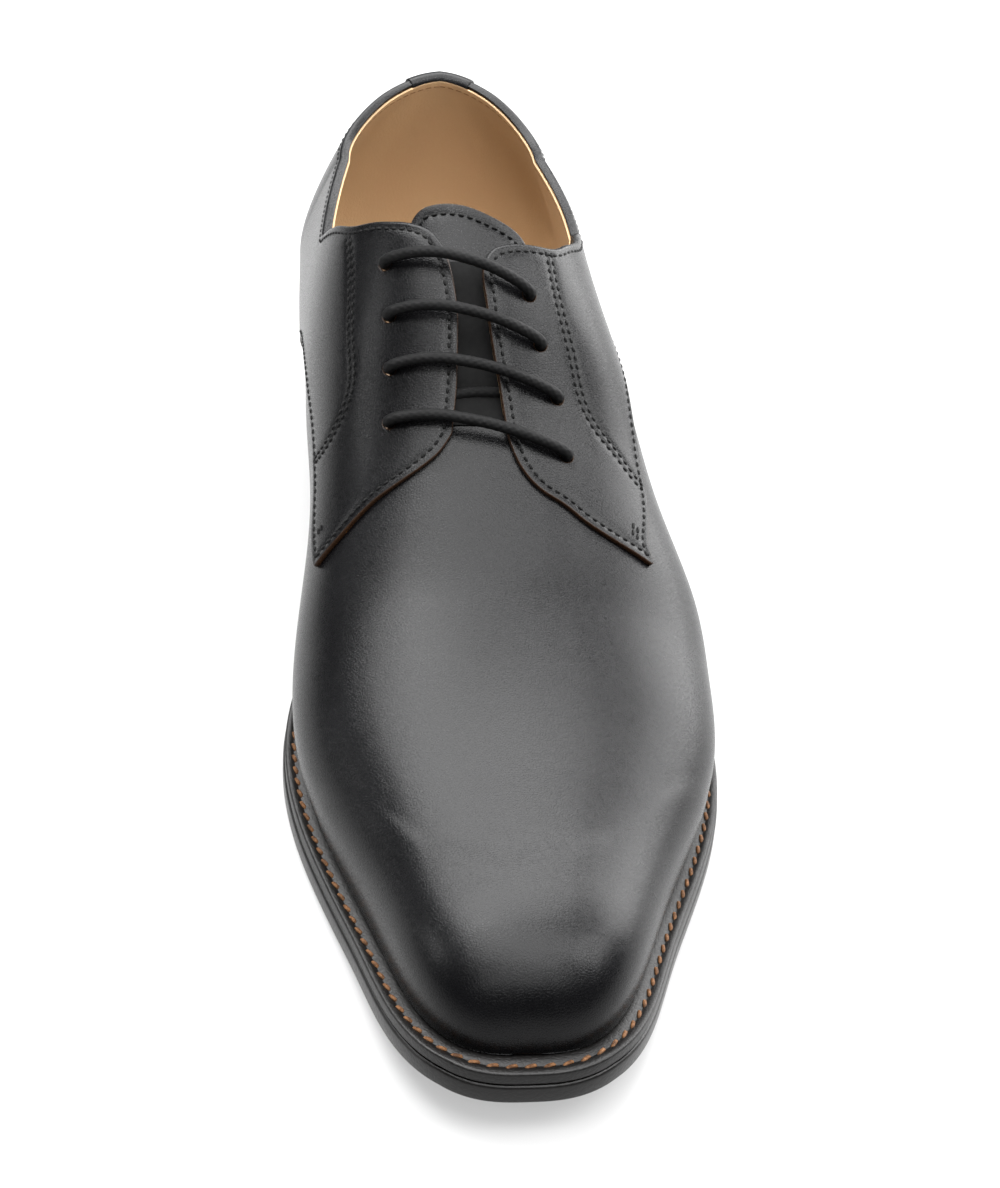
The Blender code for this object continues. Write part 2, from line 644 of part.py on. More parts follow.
def lace_bar(name, pair, parts, mat):
    """One bar: up out of the medial hole, over the facings and down into the lateral hole."""
    (u0, s0, v0), (u1, s1, v1) = pair
    clear = OVERLAY + LACE_DIAMETER / 2 + 2 * GAP
    points = [offset_point(u0, s0, v0, -0.0002)]
    for k in range(LACE_BAR_POINTS):
        t = k / (LACE_BAR_POINTS - 1)
        v = v0 + t * (2 - v0 - v1)      # over the crest, where v = 1, and down the other side
        u = u0 + (u1 - u0) * t
        bow = clear + LACE_RISE * np.sin(np.pi * t) + 0.0004
        if k in (0, LACE_BAR_POINTS - 1):
            bow = clear + 0.0002
        points.append(offset_point(u, s0, v, bow))
    points.append(offset_point(u1, s1, v1, -0.0002))
    curve = bpy.data.curves.new(name, "CURVE")
    curve.dimensions = "3D"
    curve.bevel_depth = LACE_DIAMETER / 2
    curve.bevel_resolution = 2
    curve.use_fill_caps = True
    spline = curve.splines.new("POLY")
    spline.points.add(len(points) - 1)
    for point, co in zip(spline.points, points):
        point.co = (*co, 1)
    obj = bpy.data.objects.new(name, curve)
    parts.objects.link(obj)
    obj.data.materials.append(mat)
    return obj


def tongue(parts, mat):
    """A sheet under the facings that follows the last, with a rounded top."""
    cols, rows = 15, 15
    across = np.linspace(-1, 1, rows)
    length = np.linspace(0, 1, cols)[:, None]
    drop = TONGUE_TOP_ARC * across ** 2 + TONGUE_TILT * across
    top = TONGUE_TOP_AT + drop[None] / LAST_LENGTH
    at = TONGUE_ROOT_AT + (top - TONGUE_ROOT_AT) * length
    half = (TONGUE_ROOT_WIDTH + (TONGUE_TOP_WIDTH - TONGUE_ROOT_WIDTH) * length) / 2
    x = section["crest_across"](at) * HALF_BALL + half * across[None]
    side, v = v_across(at, x)
    high = -(WALL + TONGUE_GAP)
    outer = offset_point(u_at(at), side, v, high)
    inner = offset_point(u_at(at), side, v, high - TONGUE_THICK)
    return shell("tongue", outer, inner, parts, mat)


def heel_tab(parts, mat):
    """A strip on the back of the quarter, from the collar down."""
    cols, rows = 7, 7
    top = top_v(np.zeros(1), LATERAL)[0]
    depth = np.linspace(0, 1, rows)
    v = top * (1 - depth * TAB_HEIGHT / COLLAR_HEIGHT)
    reach = solve_v(lambda t: last_point(t * FAN_U, LATERAL, v)[:, 0] + origin[0] >= TAB_WIDTH / 2, v.shape) * FAN_U
    u = np.linspace(-1, 1, cols)[:, None] * reach
    # the collar falls away to each side, so the strip's upper end follows it
    fall = top - top_v(np.abs(u[:, :1]), LATERAL)
    v = v - fall * (1 - depth)
    low = OVERLAY + GAP
    outer = offset_point(u, LATERAL, v, low + TAB_THICK)
    inner = offset_point(u, LATERAL, v, low)
    return shell("heel_tab", outer, inner, parts, mat)


def main():
    for obj in list(bpy.data.objects):
        bpy.data.objects.remove(obj)
    parts = bpy.data.collections.new("derby_shoe")
    cutters = bpy.data.collections.new("cutters")
    for collection in (parts, cutters):
        bpy.context.scene.collection.children.link(collection)

    calf = material("black_calf", (0.012, 0.012, 0.014), 0.34)
    edge = material("sole_edge", (0.010, 0.010, 0.011), 0.45)
    strip = material("welt_leather", (0.011, 0.011, 0.012), 0.50)
    stack = material("heel_stack", (0.010, 0.010, 0.011), 0.42)
    rubber = material("heel_rubber", (0.012, 0.012, 0.012), 0.75)
    sock = material("insole_leather", (0.42, 0.26, 0.13), 0.60)
    cord = material("waxed_cord", (0.008, 0.008, 0.009), 0.60)

    centre_origin()
    outsole(parts, cutters, edge)
    welt(parts, cutters, strip)
    insole(parts, cutters, sock)
    heel_block("top_lift", 0.0, TOP_LIFT_THICK, parts, cutters, rubber)
    under = side_band("heel_band", lambda at: 0 * at - 0.001, lambda at: floor_z(at) - GAP)
    heel_block("heel_stack", TOP_LIFT_THICK + GAP, HEEL_HEIGHT + 0.002, parts, cutters, stack, under)
    upper(parts, cutters, calf)
    tongue(parts, calf)
    heel_tab(parts, calf)
    for k, pair in enumerate(hole_places()):
        lace_bar(f"lace_bar_{k + 1}", pair, parts, cord)


main()
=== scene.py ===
"""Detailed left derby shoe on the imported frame: leathers, lining, stitches, lace, sole and heel.

Metres, the frame's own axes. The upper's form is the last's function, with the same named sizes and
tables as the part's source, but for the curve of the heel's back. Every leather piece is a patch of
that form with rounded edges.
"""

import math

import bmesh
import bpy
import numpy as np
from mathutils import Matrix, Vector, kdtree
from mathutils.geometry import delaunay_2d_cdt


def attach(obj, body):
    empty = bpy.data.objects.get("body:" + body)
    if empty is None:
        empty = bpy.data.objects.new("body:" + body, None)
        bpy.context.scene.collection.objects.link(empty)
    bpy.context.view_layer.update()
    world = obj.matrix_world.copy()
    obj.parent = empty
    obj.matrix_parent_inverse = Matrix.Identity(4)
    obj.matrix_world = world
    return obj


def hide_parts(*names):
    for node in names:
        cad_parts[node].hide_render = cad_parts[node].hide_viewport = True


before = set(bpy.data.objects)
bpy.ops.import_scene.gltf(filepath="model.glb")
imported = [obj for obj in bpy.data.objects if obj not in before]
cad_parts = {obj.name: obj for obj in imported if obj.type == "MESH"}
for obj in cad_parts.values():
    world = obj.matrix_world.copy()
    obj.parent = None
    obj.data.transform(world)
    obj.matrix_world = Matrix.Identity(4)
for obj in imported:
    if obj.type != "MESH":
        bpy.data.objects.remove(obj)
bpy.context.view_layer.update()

# Driving sizes
LAST_LENGTH = 0.2995      # heel seat to toe, along the upper's lower edge
BALL_WIDTH = 0.0935       # twice the half width that the section table follows
INSTEP_HEIGHT = 0.0780    # crest above the welt where the facings end
COLLAR_HEIGHT = 0.0590    # back of the collar above the seat
HEEL_HEIGHT = 0.0250      # floor to the sole at the back
TOE_SPRING = 0.0090       # floor to the sole at the toe's tip

# Thicknesses and clearances
OUTSOLE_THICK = 0.0054
WELT_THICK = 0.0034
TOP_LIFT_THICK = 0.0060
INSOLE_THICK = 0.0046
WALL = 0.0018             # vamp and lining together
OVERLAY = 0.0013          # quarter leather laid over the vamp
TAB_THICK = 0.0010
GAP = 0.0003

# Ledge of the sole beyond the upper
TOE_LEDGE = 0.0062
BALL_LEDGE = 0.0056
WAIST_LEDGE = 0.0024
HEEL_LEDGE = 0.0022
WELT_INSET = 0.0004       # the welt's edge stands back from the outsole's

# Heel
HEEL_CENTRE_AT = 0.115    # station that the heel's round end turns about
HEEL_BULGE = 0.0024       # how far the back swells beyond its lower edge
HEEL_LEAN = 0.0045        # how far the back leans in again at the collar
BREAST_AT = 0.245         # station of the heel's front face
BREAST_HOLLOW = 0.0030
HEEL_TAPER = 0.0016       # the block narrows by this much to the floor

# Toe
TOE_ROUND_AT = 0.86       # station where the plan starts to close
TOE_ROUND = 3.0           # power of its closing curve
TIP_ROUND_AT = 0.90       # station where the crest starts to drop
TIP_ROUND = 2.3

# Lacing
SLOT_WIDTH = 0.0136
HOLE_DIAMETER = 0.0034
LACE_DIAMETER = 0.0026

# Heel tab
TAB_WIDTH = 0.0200
TAB_HEIGHT = 0.0280
TAB_SHEET = 0.0009
TAB_TOP = 0.0014          # below the rim, where the strip starts to turn over it
BACK_RUN, BACK_V = 0.0615, 0.80   # metres down the back, and the v that they cover

# Sections of the last by station, 0 at the heel and 1 at the toe.
# medial, lateral, the swell beyond them and the crest's place across: shares of half the ball width.
# swell height and crest height: shares of the instep height. side, top: fullness of the curve.
SECTIONS = {
    "at": (0.10, 0.20, 0.28, 0.34, 0.40, 0.46, 0.54, 0.62, 0.70, 0.80, 0.90, 1.00),
    "medial": (0.69, 0.675, 0.62, 0.594, 0.643, 0.731, 0.85, 0.932, 0.904, 0.755, 0.59, 0.49),
    "lateral": (0.66, 0.674, 0.70, 0.762, 0.848, 0.932, 1.076, 1.14, 1.10, 0.89, 0.65, 0.51),
    "medial_swell": (0.124, 0.172, 0.24, 0.274, 0.22, 0.156, 0.11, 0.078, 0.072, 0.034, 0.026, 0.021),
    "lateral_swell": (0.06, 0.097, 0.078, 0.10, 0.12, 0.13, 0.124, 0.076, 0.068, 0.038, 0.030, 0.021),
    "swell_height": (0.26, 0.26, 0.26, 0.256, 0.244, 0.23, 0.205, 0.18, 0.154, 0.128, 0.115, 0.10),
    "crest_height": (1.19, 1.337, 1.239, 1.102, 1.00, 0.853, 0.705, 0.59, 0.50, 0.425, 0.365, 0.32),
    "crest_across": (0.004, 0.011, -0.039, -0.09, -0.101, -0.108, -0.097, -0.087, -0.064, -0.032, -0.017, 0.0),
    "side": (0.23, 0.36, 0.564, 0.639, 0.626, 0.591, 0.563, 0.561, 0.58, 0.60, 0.60, 0.60),
    "top": (0.16, 0.313, 0.432, 0.481, 0.49, 0.448, 0.47, 0.504, 0.56, 0.60, 0.62, 0.62),
}
# Underside of the sole: shares of the heel height, then of the toe spring
SOLE_LINE = {
    "at": (0.00, 0.12, 0.24, 0.34, 0.44, 0.54, 0.62, 0.70, 0.80, 0.90, 1.00),
    "heel": (1.00, 0.968, 0.88, 0.64, 0.33, 0.088, 0.0, 0.0, 0.0, 0.0, 0.0),
    "toe": (0.0, 0.0, 0.0, 0.0, 0.0, 0.0, 0.0, 0.0, 0.11, 0.445, 1.0),
}
# Collar edge above the welt, as a share of the collar height
COLLAR_LINE = {
    "at": (0.00, 0.02, 0.05, 0.10, 0.17, 0.24),
    "collar": (1.0, 0.993, 0.97, 0.885, 0.88, 0.896),
}
# Top edge of the facings: share of the way from the collar's front end to the slot's upper corner
FACING_TOP = {
    "at": (0.24, 0.272, 0.304, 0.33, 0.346, 0.3535, 0.359, 0.3665, 0.382),
    "medial": (0.0, 0.13, 0.294, 0.563, 0.782, 0.868, 0.905, 0.948, 1.0),
    "lateral": (0.0, 0.10, 0.22, 0.40, 0.537, 0.68, 0.80, 0.917, 1.0),
}
# Slot between the facings: its middle as a share of half the ball width, its width as a share of its own
SLOT = {
    "at": (0.382, 0.412, 0.438, 0.463, 0.493),
    "middle": (-0.061, -0.032, -0.021, -0.011, -0.011),
    "width": (0.537, 0.544, 0.654, 0.80, 1.0),
}
# Lower front edge of the facings on each side: share of the way from the slot's foot to the facing's tip
FRONT_EDGE = {
    "medial_at": (0.493, 0.505, 0.513, 0.52, 0.525, 0.531, 0.537, 0.541),
    "medial": (0.0, 0.09, 0.20, 0.36, 0.515, 0.645, 0.79, 1.0),
    "lateral_at": (0.493, 0.509, 0.522, 0.531, 0.538, 0.549, 0.556, 0.564),
    "lateral": (0.0, 0.04, 0.105, 0.19, 0.32, 0.475, 0.65, 1.0),
}
# Side seam, where the quarter lies over the vamp's wing: height above the welt in instep heights
SIDE_SEAM = {
    "at": (0.21, 0.235, 0.28, 0.34, 0.40, 0.45, 0.50, 0.541, 0.564),
    "medial": (0.0, 0.24, 0.36, 0.43, 0.445, 0.43, 0.41, 0.418, 0.418),
    "lateral": (0.0, 0.28, 0.46, 0.585, 0.60, 0.56, 0.527, 0.522, 0.49),
}
# Lace holes from the top down: station and place across in half ball widths, on each side
HOLES = {
    "medial_at": (0.3635, 0.402, 0.436, 0.4715),
    "medial": (-0.462, -0.454, -0.458, -0.468),
    "lateral_at": (0.3945, 0.425, 0.4565, 0.4975),
    "lateral": (0.274, 0.327, 0.41, 0.447),
}
# Ledge of the sole, by station: which named ledge holds there
LEDGE_AT = (0.0, 0.15, 0.36, 0.50, 0.62, 0.85, 1.0)
LEDGES = (HEEL_LEDGE, HEEL_LEDGE, WAIST_LEDGE, (WAIST_LEDGE + BALL_LEDGE) / 2,
          BALL_LEDGE, BALL_LEDGE, TOE_LEDGE)

MEDIAL, LATERAL = -1, 1
HALF_BALL = BALL_WIDTH / 2
NAMES = {MEDIAL: "medial", LATERAL: "lateral"}
COLLAR_END_AT, SLOT_TOP_AT, SLOT_FOOT_AT = FACING_TOP["at"][0], SLOT["at"][0], SLOT["at"][-1]
TIP_AT = {side: FRONT_EDGE[name + "_at"][-1] for side, name in NAMES.items()}
SWELL_V = 0.2             # share of a section's curve that lies below the swell
FAN_U = 0.2               # share of u that goes round the heel
CAP_U = 0.8               # u where the toe's rounding starts
BACK_SOFT = 0.14          # rounds the back's middle, where a low power would leave a keel
origin = np.zeros(2)      # the heel seat's back edge in plan, set by centre_origin


def fair(xs, ys):
    """A natural spline through the rows of a table: one even sweep, for the last's own form."""
    x, y = np.array(xs, float), np.array(ys, float)
    n, h = len(x), np.diff(x)
    system, right = np.eye(n), np.zeros(n)
    for i in range(1, n - 1):
        system[i, i - 1:i + 2] = h[i - 1], 2 * (h[i - 1] + h[i]), h[i]
        right[i] = 6 * ((y[i + 1] - y[i]) / h[i] - (y[i] - y[i - 1]) / h[i - 1])
    bend = np.linalg.solve(system, right)

    def value(t):
        t = np.clip(np.asarray(t, float), x[0], x[-1])
        i = np.clip(np.searchsorted(x, t) - 1, 0, n - 2)
        a, b = (x[i + 1] - t) / h[i], (t - x[i]) / h[i]
        return (a * y[i] + b * y[i + 1]
                + ((a ** 3 - a) * bend[i] + (b ** 3 - b) * bend[i + 1]) * h[i] ** 2 / 6)
    return value


def through(xs, ys):
    """A curve through the rows of a table which never overshoots, so flats stay flat."""
    x, y = np.array(xs, float), np.array(ys, float)
    h, d = np.diff(x), np.diff(y) / np.diff(x)
    m = np.zeros(len(x))
    m[0], m[-1] = d[0], d[-1]
    for i in range(1, len(x) - 1):
        if d[i - 1] * d[i] > 0:
            w1, w2 = 2 * h[i] + h[i - 1], h[i] + 2 * h[i - 1]
            m[i] = (w1 + w2) / (w1 / d[i - 1] + w2 / d[i])

    def value(t):
        t = np.clip(np.asarray(t, float), x[0], x[-1])
        i = np.clip(np.searchsorted(x, t) - 1, 0, len(x) - 2)
        q = (t - x[i]) / h[i]
        return ((1 + 2 * q) * (1 - q) ** 2 * y[i] + q * (1 - q) ** 2 * h[i] * m[i]
                + q * q * (3 - 2 * q) * y[i + 1] + q * q * (q - 1) * h[i] * m[i + 1])
    return value


def columns(table, curve=through):
    return {name: curve(table["at"], values) for name, values in table.items() if name != "at"}


section = columns(SECTIONS, fair)
sole_line, collar_line, slot = (columns(table) for table in (SOLE_LINE, COLLAR_LINE, SLOT))
facing_top, seam_height = columns(FACING_TOP), columns(SIDE_SEAM)
front_share = {name: through(FRONT_EDGE[name + "_at"], FRONT_EDGE[name]) for name in NAMES.values()}
ledge = through(LEDGE_AT, LEDGES)


def floor_z(at):
    """Underside of the outsole."""
    return sole_line["heel"](at) * HEEL_HEIGHT + sole_line["toe"](at) * TOE_SPRING


def sole_top(at):
    """Where the welt and the insole lie, just above the outsole."""
    return floor_z(at) + OUTSOLE_THICK + GAP


def seat_z(at):
    """Lower edge of the upper, just above the welt."""
    return sole_top(at) + WELT_THICK + GAP


def collar_z(at):
    return seat_z(at) + collar_line["collar"](at) * COLLAR_HEIGHT


def closing(at, start, power):
    """1 behind the start station, falling to 0 at the toe along a rounded corner."""
    return (1 - np.clip((at - start) / (1 - start), 0, 1) ** power) ** (1 / power)


def bezier(a, b, c, d, t):
    return (1 - t) ** 3 * a + 3 * (1 - t) ** 2 * t * b + 3 * (1 - t) * t * t * c + t ** 3 * d


def half_section(at, side, v):
    """Distance from the middle and height of one side of a cross section; v runs 0 to 1 up to the crest."""
    lateral = side > 0
    close, drop = closing(at, TOE_ROUND_AT, TOE_ROUND), closing(at, TIP_ROUND_AT, TIP_ROUND)
    half = np.where(lateral, section["lateral"](at), section["medial"](at)) * HALF_BALL * close
    swell = np.where(lateral, section["lateral_swell"](at), section["medial_swell"](at)) * HALF_BALL * close
    crest, belly = (section[n](at) * INSTEP_HEIGHT * drop for n in ("crest_height", "swell_height"))
    middle = section["crest_across"](at) * HALF_BALL * close * side
    widest = half + swell
    below = v < SWELL_V
    t = np.where(below, v / SWELL_V, (v - SWELL_V) / (1 - SWELL_V))
    out = np.where(below, bezier(half, half + 0.55 * swell, widest, widest, t),
                   bezier(widest, widest, middle + section["top"](at) * (widest - middle), middle, t))
    up = np.where(below, bezier(0 * half, 0.3 * belly, 0.62 * belly, belly, t),
                  bezier(belly, belly + section["side"](at) * (crest - belly), crest, crest, t))
    return out, up + seat_z(at)


def station(u):
    """Station of u ahead of the heel's fan; the toe's rounding takes its last stretch."""
    straight = HEEL_CENTRE_AT + (TOE_ROUND_AT - HEEL_CENTRE_AT) * (u - FAN_U) / (CAP_U - FAN_U)
    turn = np.sin(np.clip((u - CAP_U) / (1 - CAP_U), 0, 1) * np.pi / 2) ** (2 / TOE_ROUND)
    return np.where(u < CAP_U, straight, np.minimum(TOE_ROUND_AT + (1 - TOE_ROUND_AT) * turn, 1 - 1e-6))


def along(u):
    """Station used to read the tables, which also runs down to 0 round the heel."""
    return np.where(u < FAN_U, HEEL_CENTRE_AT * u / FAN_U, station(np.maximum(u, FAN_U)))


def u_at(at):
    """u of a station between the heel's fan and the toe's rounding."""
    return FAN_U + (CAP_U - FAN_U) * (at - HEEL_CENTRE_AT) / (TOE_ROUND_AT - HEEL_CENTRE_AT)


def last_point(u, side, v):
    """A point of the upper's outer form. Past u = 0 or v = 1 the surface goes on over to the other side."""
    u, side, v = (np.asarray(a, float) for a in np.broadcast_arrays(u, side, v))
    side = np.where((u < 0) ^ (v > 1), -side, side)
    u, v = np.abs(u), np.where(v > 1, 2 - v, v)
    at = station(np.maximum(u, FAN_U))
    out, up = half_section(at, side, v)
    x, y, z = side * out, at * LAST_LENGTH, up
    # Round the heel the sections fan out about a centre and turn into the back's own curve
    centre = HEEL_CENTRE_AT * LAST_LENGTH
    turn = np.clip(u / FAN_U, 0, 1) * np.pi / 2
    belly, crest = (section[n](HEEL_CENTRE_AT) * INSTEP_HEIGHT for n in ("swell_height", "crest_height"))
    widest = centre + HEEL_BULGE
    below = v < SWELL_V
    t = np.where(below, v / SWELL_V, (v - SWELL_V) / (1 - SWELL_V))
    back = np.where(below, bezier(centre, centre + 0.55 * HEEL_BULGE, widest, widest, t),
                    bezier(widest, widest, widest - 2.2 * HEEL_LEAN, widest - 2.4 * HEEL_LEAN, t))
    rise = np.where(below, bezier(0, 0.3 * belly, 0.62 * belly, belly, t),
                    bezier(belly, belly + 0.33 * (crest - belly), belly + 0.67 * (crest - belly), crest, t))
    power = 2.2 - 0.42 * np.clip((v - 0.1) / 0.6, 0, 1)
    mix = np.sin(turn) ** 2
    fan = u < FAN_U
    share = np.abs(np.sin(turn)) ** (2 / power)
    x = np.where(fan, side * out * share, x)
    soft = BACK_SOFT
    gone = (((share ** 2 + soft ** 2) ** (power / 2) - soft ** power)
            / ((1 + soft ** 2) ** (power / 2) - soft ** power))
    y = np.where(fan, centre - back * np.clip(1 - gone, 0, 1) ** (1 / power), y)
    z = np.where(fan, up * mix + (rise + seat_z(0.0)) * (1 - mix), z)
    return np.stack([x - origin[0], origin[1] - y, z], -1)


def unit(a):
    """Directions of unit length."""
    return a / np.maximum(np.linalg.norm(a, axis=-1, keepdims=True), 1e-12)


def run_along(p):
    """How far along a line each of its points lies."""
    return np.concatenate([[0], np.cumsum(np.linalg.norm(np.diff(p, axis=0), axis=1))])


def sampled(at, run, values):
    """Every column of values read at other distances along a line."""
    return np.stack([np.interp(at, run, column) for column in values.T], -1)


def normal(u, side, v, step=2e-3):
    """Outward direction of the last's surface."""
    along_u = last_point(u + step, side, v) - last_point(u - step, side, v)
    along_v = last_point(u, side, v + step) - last_point(u, side, v - step)
    return unit(np.cross(along_u, along_v) * -np.asarray(side, float)[..., None])


def solve_v(test, shape, low=0.0):
    """The v where a rising test turns true, by halving."""
    lo, hi = np.full(shape, low), np.ones(shape)
    for _ in range(36):
        mid = (lo + hi) / 2
        past = test(mid)
        lo, hi = np.where(past, lo, mid), np.where(past, mid, hi)
    return (lo + hi) / 2


def v_at_height(u, side, z):
    u, z = (np.asarray(a, float) for a in np.broadcast_arrays(u, z))
    return solve_v(lambda v: last_point(u, side, v)[..., 2] >= z, u.shape)


def v_across(at, x):
    """Side and v where the section at a station reaches a place across the crest."""
    at, x = (np.asarray(a, float) for a in np.broadcast_arrays(at, x))
    side = np.where(x >= section["crest_across"](at) * HALF_BALL, 1.0, -1.0)
    return side, solve_v(lambda v: half_section(at, side, v)[0] <= x * side, at.shape, SWELL_V)


def slot_edge(at, side):
    """v of the facing's edge along the slot."""
    x = slot["middle"](at) * HALF_BALL + side * slot["width"](at) * SLOT_WIDTH / 2
    return v_across(at, x)[1]


def seam_v(at, side):
    """v of the side seam, and ahead of the facing's tip the same place carried on."""
    held = np.clip(at, SIDE_SEAM["at"][0], TIP_AT[side])
    z = seat_z(held) + seam_height[NAMES[side]](held) * INSTEP_HEIGHT
    return np.where(at < SIDE_SEAM["at"][0], 0.0, v_at_height(u_at(held), side, z))


def front_v(at, side):
    """v of the quarter's upper edge: the collar, the slot's edge, then the lower front edge."""
    at = np.asarray(at, float)
    foot, tip = slot_edge(SLOT_FOOT_AT, side), seam_v(np.array(TIP_AT[side]), side)
    front = foot + (tip - foot) * front_share[NAMES[side]](at)
    return np.where(at <= SLOT_FOOT_AT, slot_edge(np.clip(at, SLOT_TOP_AT, SLOT_FOOT_AT), side), front)


def top_v(u, side):
    """v where the upper ends: collar, facing's top, slot, or the crest where it is closed."""
    at = along(u)
    collar = v_at_height(u, side, collar_z(np.minimum(at, COLLAR_END_AT)))
    end = v_at_height(u_at(COLLAR_END_AT), side, collar_z(COLLAR_END_AT))
    facing = end + (slot_edge(SLOT_TOP_AT, side) - end) * facing_top[NAMES[side]](at)
    rim = np.where(at < COLLAR_END_AT, collar, facing)
    return np.where(at < SLOT_TOP_AT, rim, np.where(at <= SLOT_FOOT_AT + 1e-9, front_v(at, side), 1.0))


def sole_outline():
    """The upper's lower edge moved outward by the ledge, as one loop seen from above."""
    loop = []
    for side in (LATERAL, MEDIAL):
        u = np.concatenate([np.linspace(0, FAN_U, 10)[:-1], np.linspace(FAN_U, CAP_U, 24),
                            np.linspace(CAP_U, 1, 14)[1:]])
        edge = last_point(u, side, 0 * u)[:, :2]
        ahead = last_point(u + 1e-3, side, 0 * u)[:, :2] - last_point(u - 1e-3, side, 0 * u)[:, :2]
        out = unit(np.stack([-ahead[:, 1], ahead[:, 0]], -1) * side)
        out[0], out[-1] = (0, 1), (0, -1)
        edge = edge + out * ledge(along(u))[:, None]
        loop.append(edge if side == LATERAL else edge[::-1][1:-1])
    return np.concatenate(loop)


def centre_origin():
    """Puts the origin under the middle of the shoe's width and length, the heel tab included."""
    outline = sole_outline()
    v = np.linspace(0, 0.6, 61)
    tab = last_point(0.0, LATERAL, v) + normal(0.0, LATERAL, v) * (OVERLAY + GAP + TAB_THICK)
    back = tab[:, 1].max()
    origin[0] += (outline[:, 0].max() + outline[:, 0].min()) / 2
    origin[1] -= (max(outline[:, 1].max(), back) + outline[:, 1].min()) / 2


centre_origin()


# Sizes that only the scene has
EDGE_ROUND = 0.00035      # cut leather edge
RIM_ROUND = 0.0010        # folded edge of the collar
RIM_THICK = 0.0025
UNDER_ROUND = 0.0002
TONGUE_DROP = 0.0034      # how far the tongue lies under the last's form
TONGUE_SHEET = 0.0012
QUARTER_SHEET = 0.00125
LINING_THICK = 0.0007
LINING_HOLES = 2.1        # the lining's holes are so much wider, and stay out of sight
STITCH_INSET = 0.0021
STITCH_PITCH = 0.0023
STITCH_RADIUS = 0.00036
WELT_PITCH = 0.0042
WELT_ROW_AT = 0.335       # station where the welt's stitches start
GROOVE = 0.00026
SCALE_UV = np.array([0.372, 0.085])      # metres for one u and one v, to space a patch's points
UV_STEP = 1e-4            # for the slopes of the form
LINE_STEP = 0.0006        # between the points of a worked line
WING_AT, TONGUE_AT = 0.205, 0.488   # stations of the vamp's wings' ends and of the tongue's foot
FRONT_U = 0.995           # u where the vamp ends at the toe's tip
LINING_FRONT_AT = 0.478   # station where the vamp's lining takes over from the quarters'
LINING_LEVEL = -0.0012    # the quarters' lining lies this far under the last's form


def on_form(uv):
    """Points of the upper's form at signed u and v."""
    return last_point(uv[..., 0], LATERAL, uv[..., 1])


def out_of(uv):
    return normal(uv[..., 0], LATERAL, uv[..., 1])


def feather_z(uv):
    """Height of the form's lower edge below or above the same u."""
    return last_point(uv[..., 0], LATERAL, np.where(uv[..., 1] > 1, 2.0, 0.0))[..., 2]


def hit(points, high=0.0):
    """Points at a height above the upper's form, never under its lower edge."""
    uv = np.asarray(points, float)
    p = on_form(uv) + out_of(uv) * np.asarray(high, float)[..., None]
    p[..., 2] = np.maximum(p[..., 2], feather_z(uv))
    return p


def facing_uv(u, side, v):
    """Signed u: the medial side runs on past the heel."""
    u, v = np.broadcast_arrays(np.asarray(u, float), np.asarray(v, float))
    return np.stack([u * side, v], -1)


def over_uv(u, side, v):
    """Signed v: the medial side runs on past the crest."""
    u, v = np.broadcast_arrays(np.asarray(u, float), np.asarray(v, float))
    return np.stack([u, v if side > 0 else 2 - v], -1)


def resample(uv, step, closed=False):
    """The same line with points an even step apart on the form."""
    uv = np.asarray(uv, float)
    if closed:
        uv = np.concatenate([uv, uv[:1]])
    run = run_along(hit(uv))
    keep = np.concatenate([[True], np.diff(run) > 1e-7])
    uv, run = uv[keep], run[keep]
    count = max(int(round(run[-1] / step)), 3)
    at = np.linspace(0, run[-1], count + 1)
    out = sampled(at, run, uv)
    return out[:-1] if closed else out


def tangents(p, closed):
    if closed:
        t = np.roll(p, -1, 0) - np.roll(p, 1, 0)
    else:
        t = np.gradient(p, axis=0)
    return unit(t)


def beside(uv, distance):
    """A line moved sideways over the form; a positive distance is to the left, seen from outside."""
    uv = np.asarray(uv, float)
    b = np.cross(out_of(uv), tangents(on_form(uv), False)) * distance
    pu, pv = ((on_form(uv + step) - on_form(uv - step)) / (2 * UV_STEP)
              for step in ((UV_STEP, 0), (0, UV_STEP)))
    a11, a12, a22 = (pu * pu).sum(1), (pu * pv).sum(1), (pv * pv).sum(1)
    b1, b2 = (pu * b).sum(1), (pv * b).sum(1)
    det = a11 * a22 - a12 * a12
    return uv + np.stack([(b1 * a22 - b2 * a12) / det, (a11 * b2 - a12 * b1) / det], -1)


def round_corner(uv, corner, reach):
    """Replaces the run within reach of a corner by a curve that leaves and meets the line smoothly."""
    c = int(np.argmin(np.linalg.norm((uv - corner) * SCALE_UV, axis=1)))
    run = run_along(hit(uv))
    a, b = int(np.searchsorted(run, run[c] - reach)), int(np.searchsorted(run, run[c] + reach))
    a, b = max(a, 0), min(b, len(uv) - 1)
    t = np.linspace(0, 1, 12)[:, None]
    curve = (1 - t) ** 2 * uv[a] + 2 * t * (1 - t) * uv[c] + t * t * uv[b]
    return np.concatenate([uv[:a], curve, uv[b + 1:]])


def inside(points, loop):
    """Which points lie in a closed loop."""
    x, y = points[:, 0], points[:, 1]
    result = np.zeros(len(points), bool)
    for (x0, y0), (x1, y1) in zip(loop, np.roll(loop, -1, 0)):
        if y0 == y1:
            continue
        crosses = (y0 > y) != (y1 > y)
        result ^= crosses & (x < x0 + (y - y0) * (x1 - x0) / (y1 - y0))
    return result


def tree_of(points):
    tree = kdtree.KDTree(len(points))
    for i, co in enumerate(points):
        tree.insert(Vector((*co, 0.0)) if len(co) == 2 else Vector(co), i)
    tree.balance()
    return tree


def nearest(tree, points):
    return np.array([tree.find(Vector((*co, 0.0)) if len(co) == 2 else Vector(co))[2] for co in points])


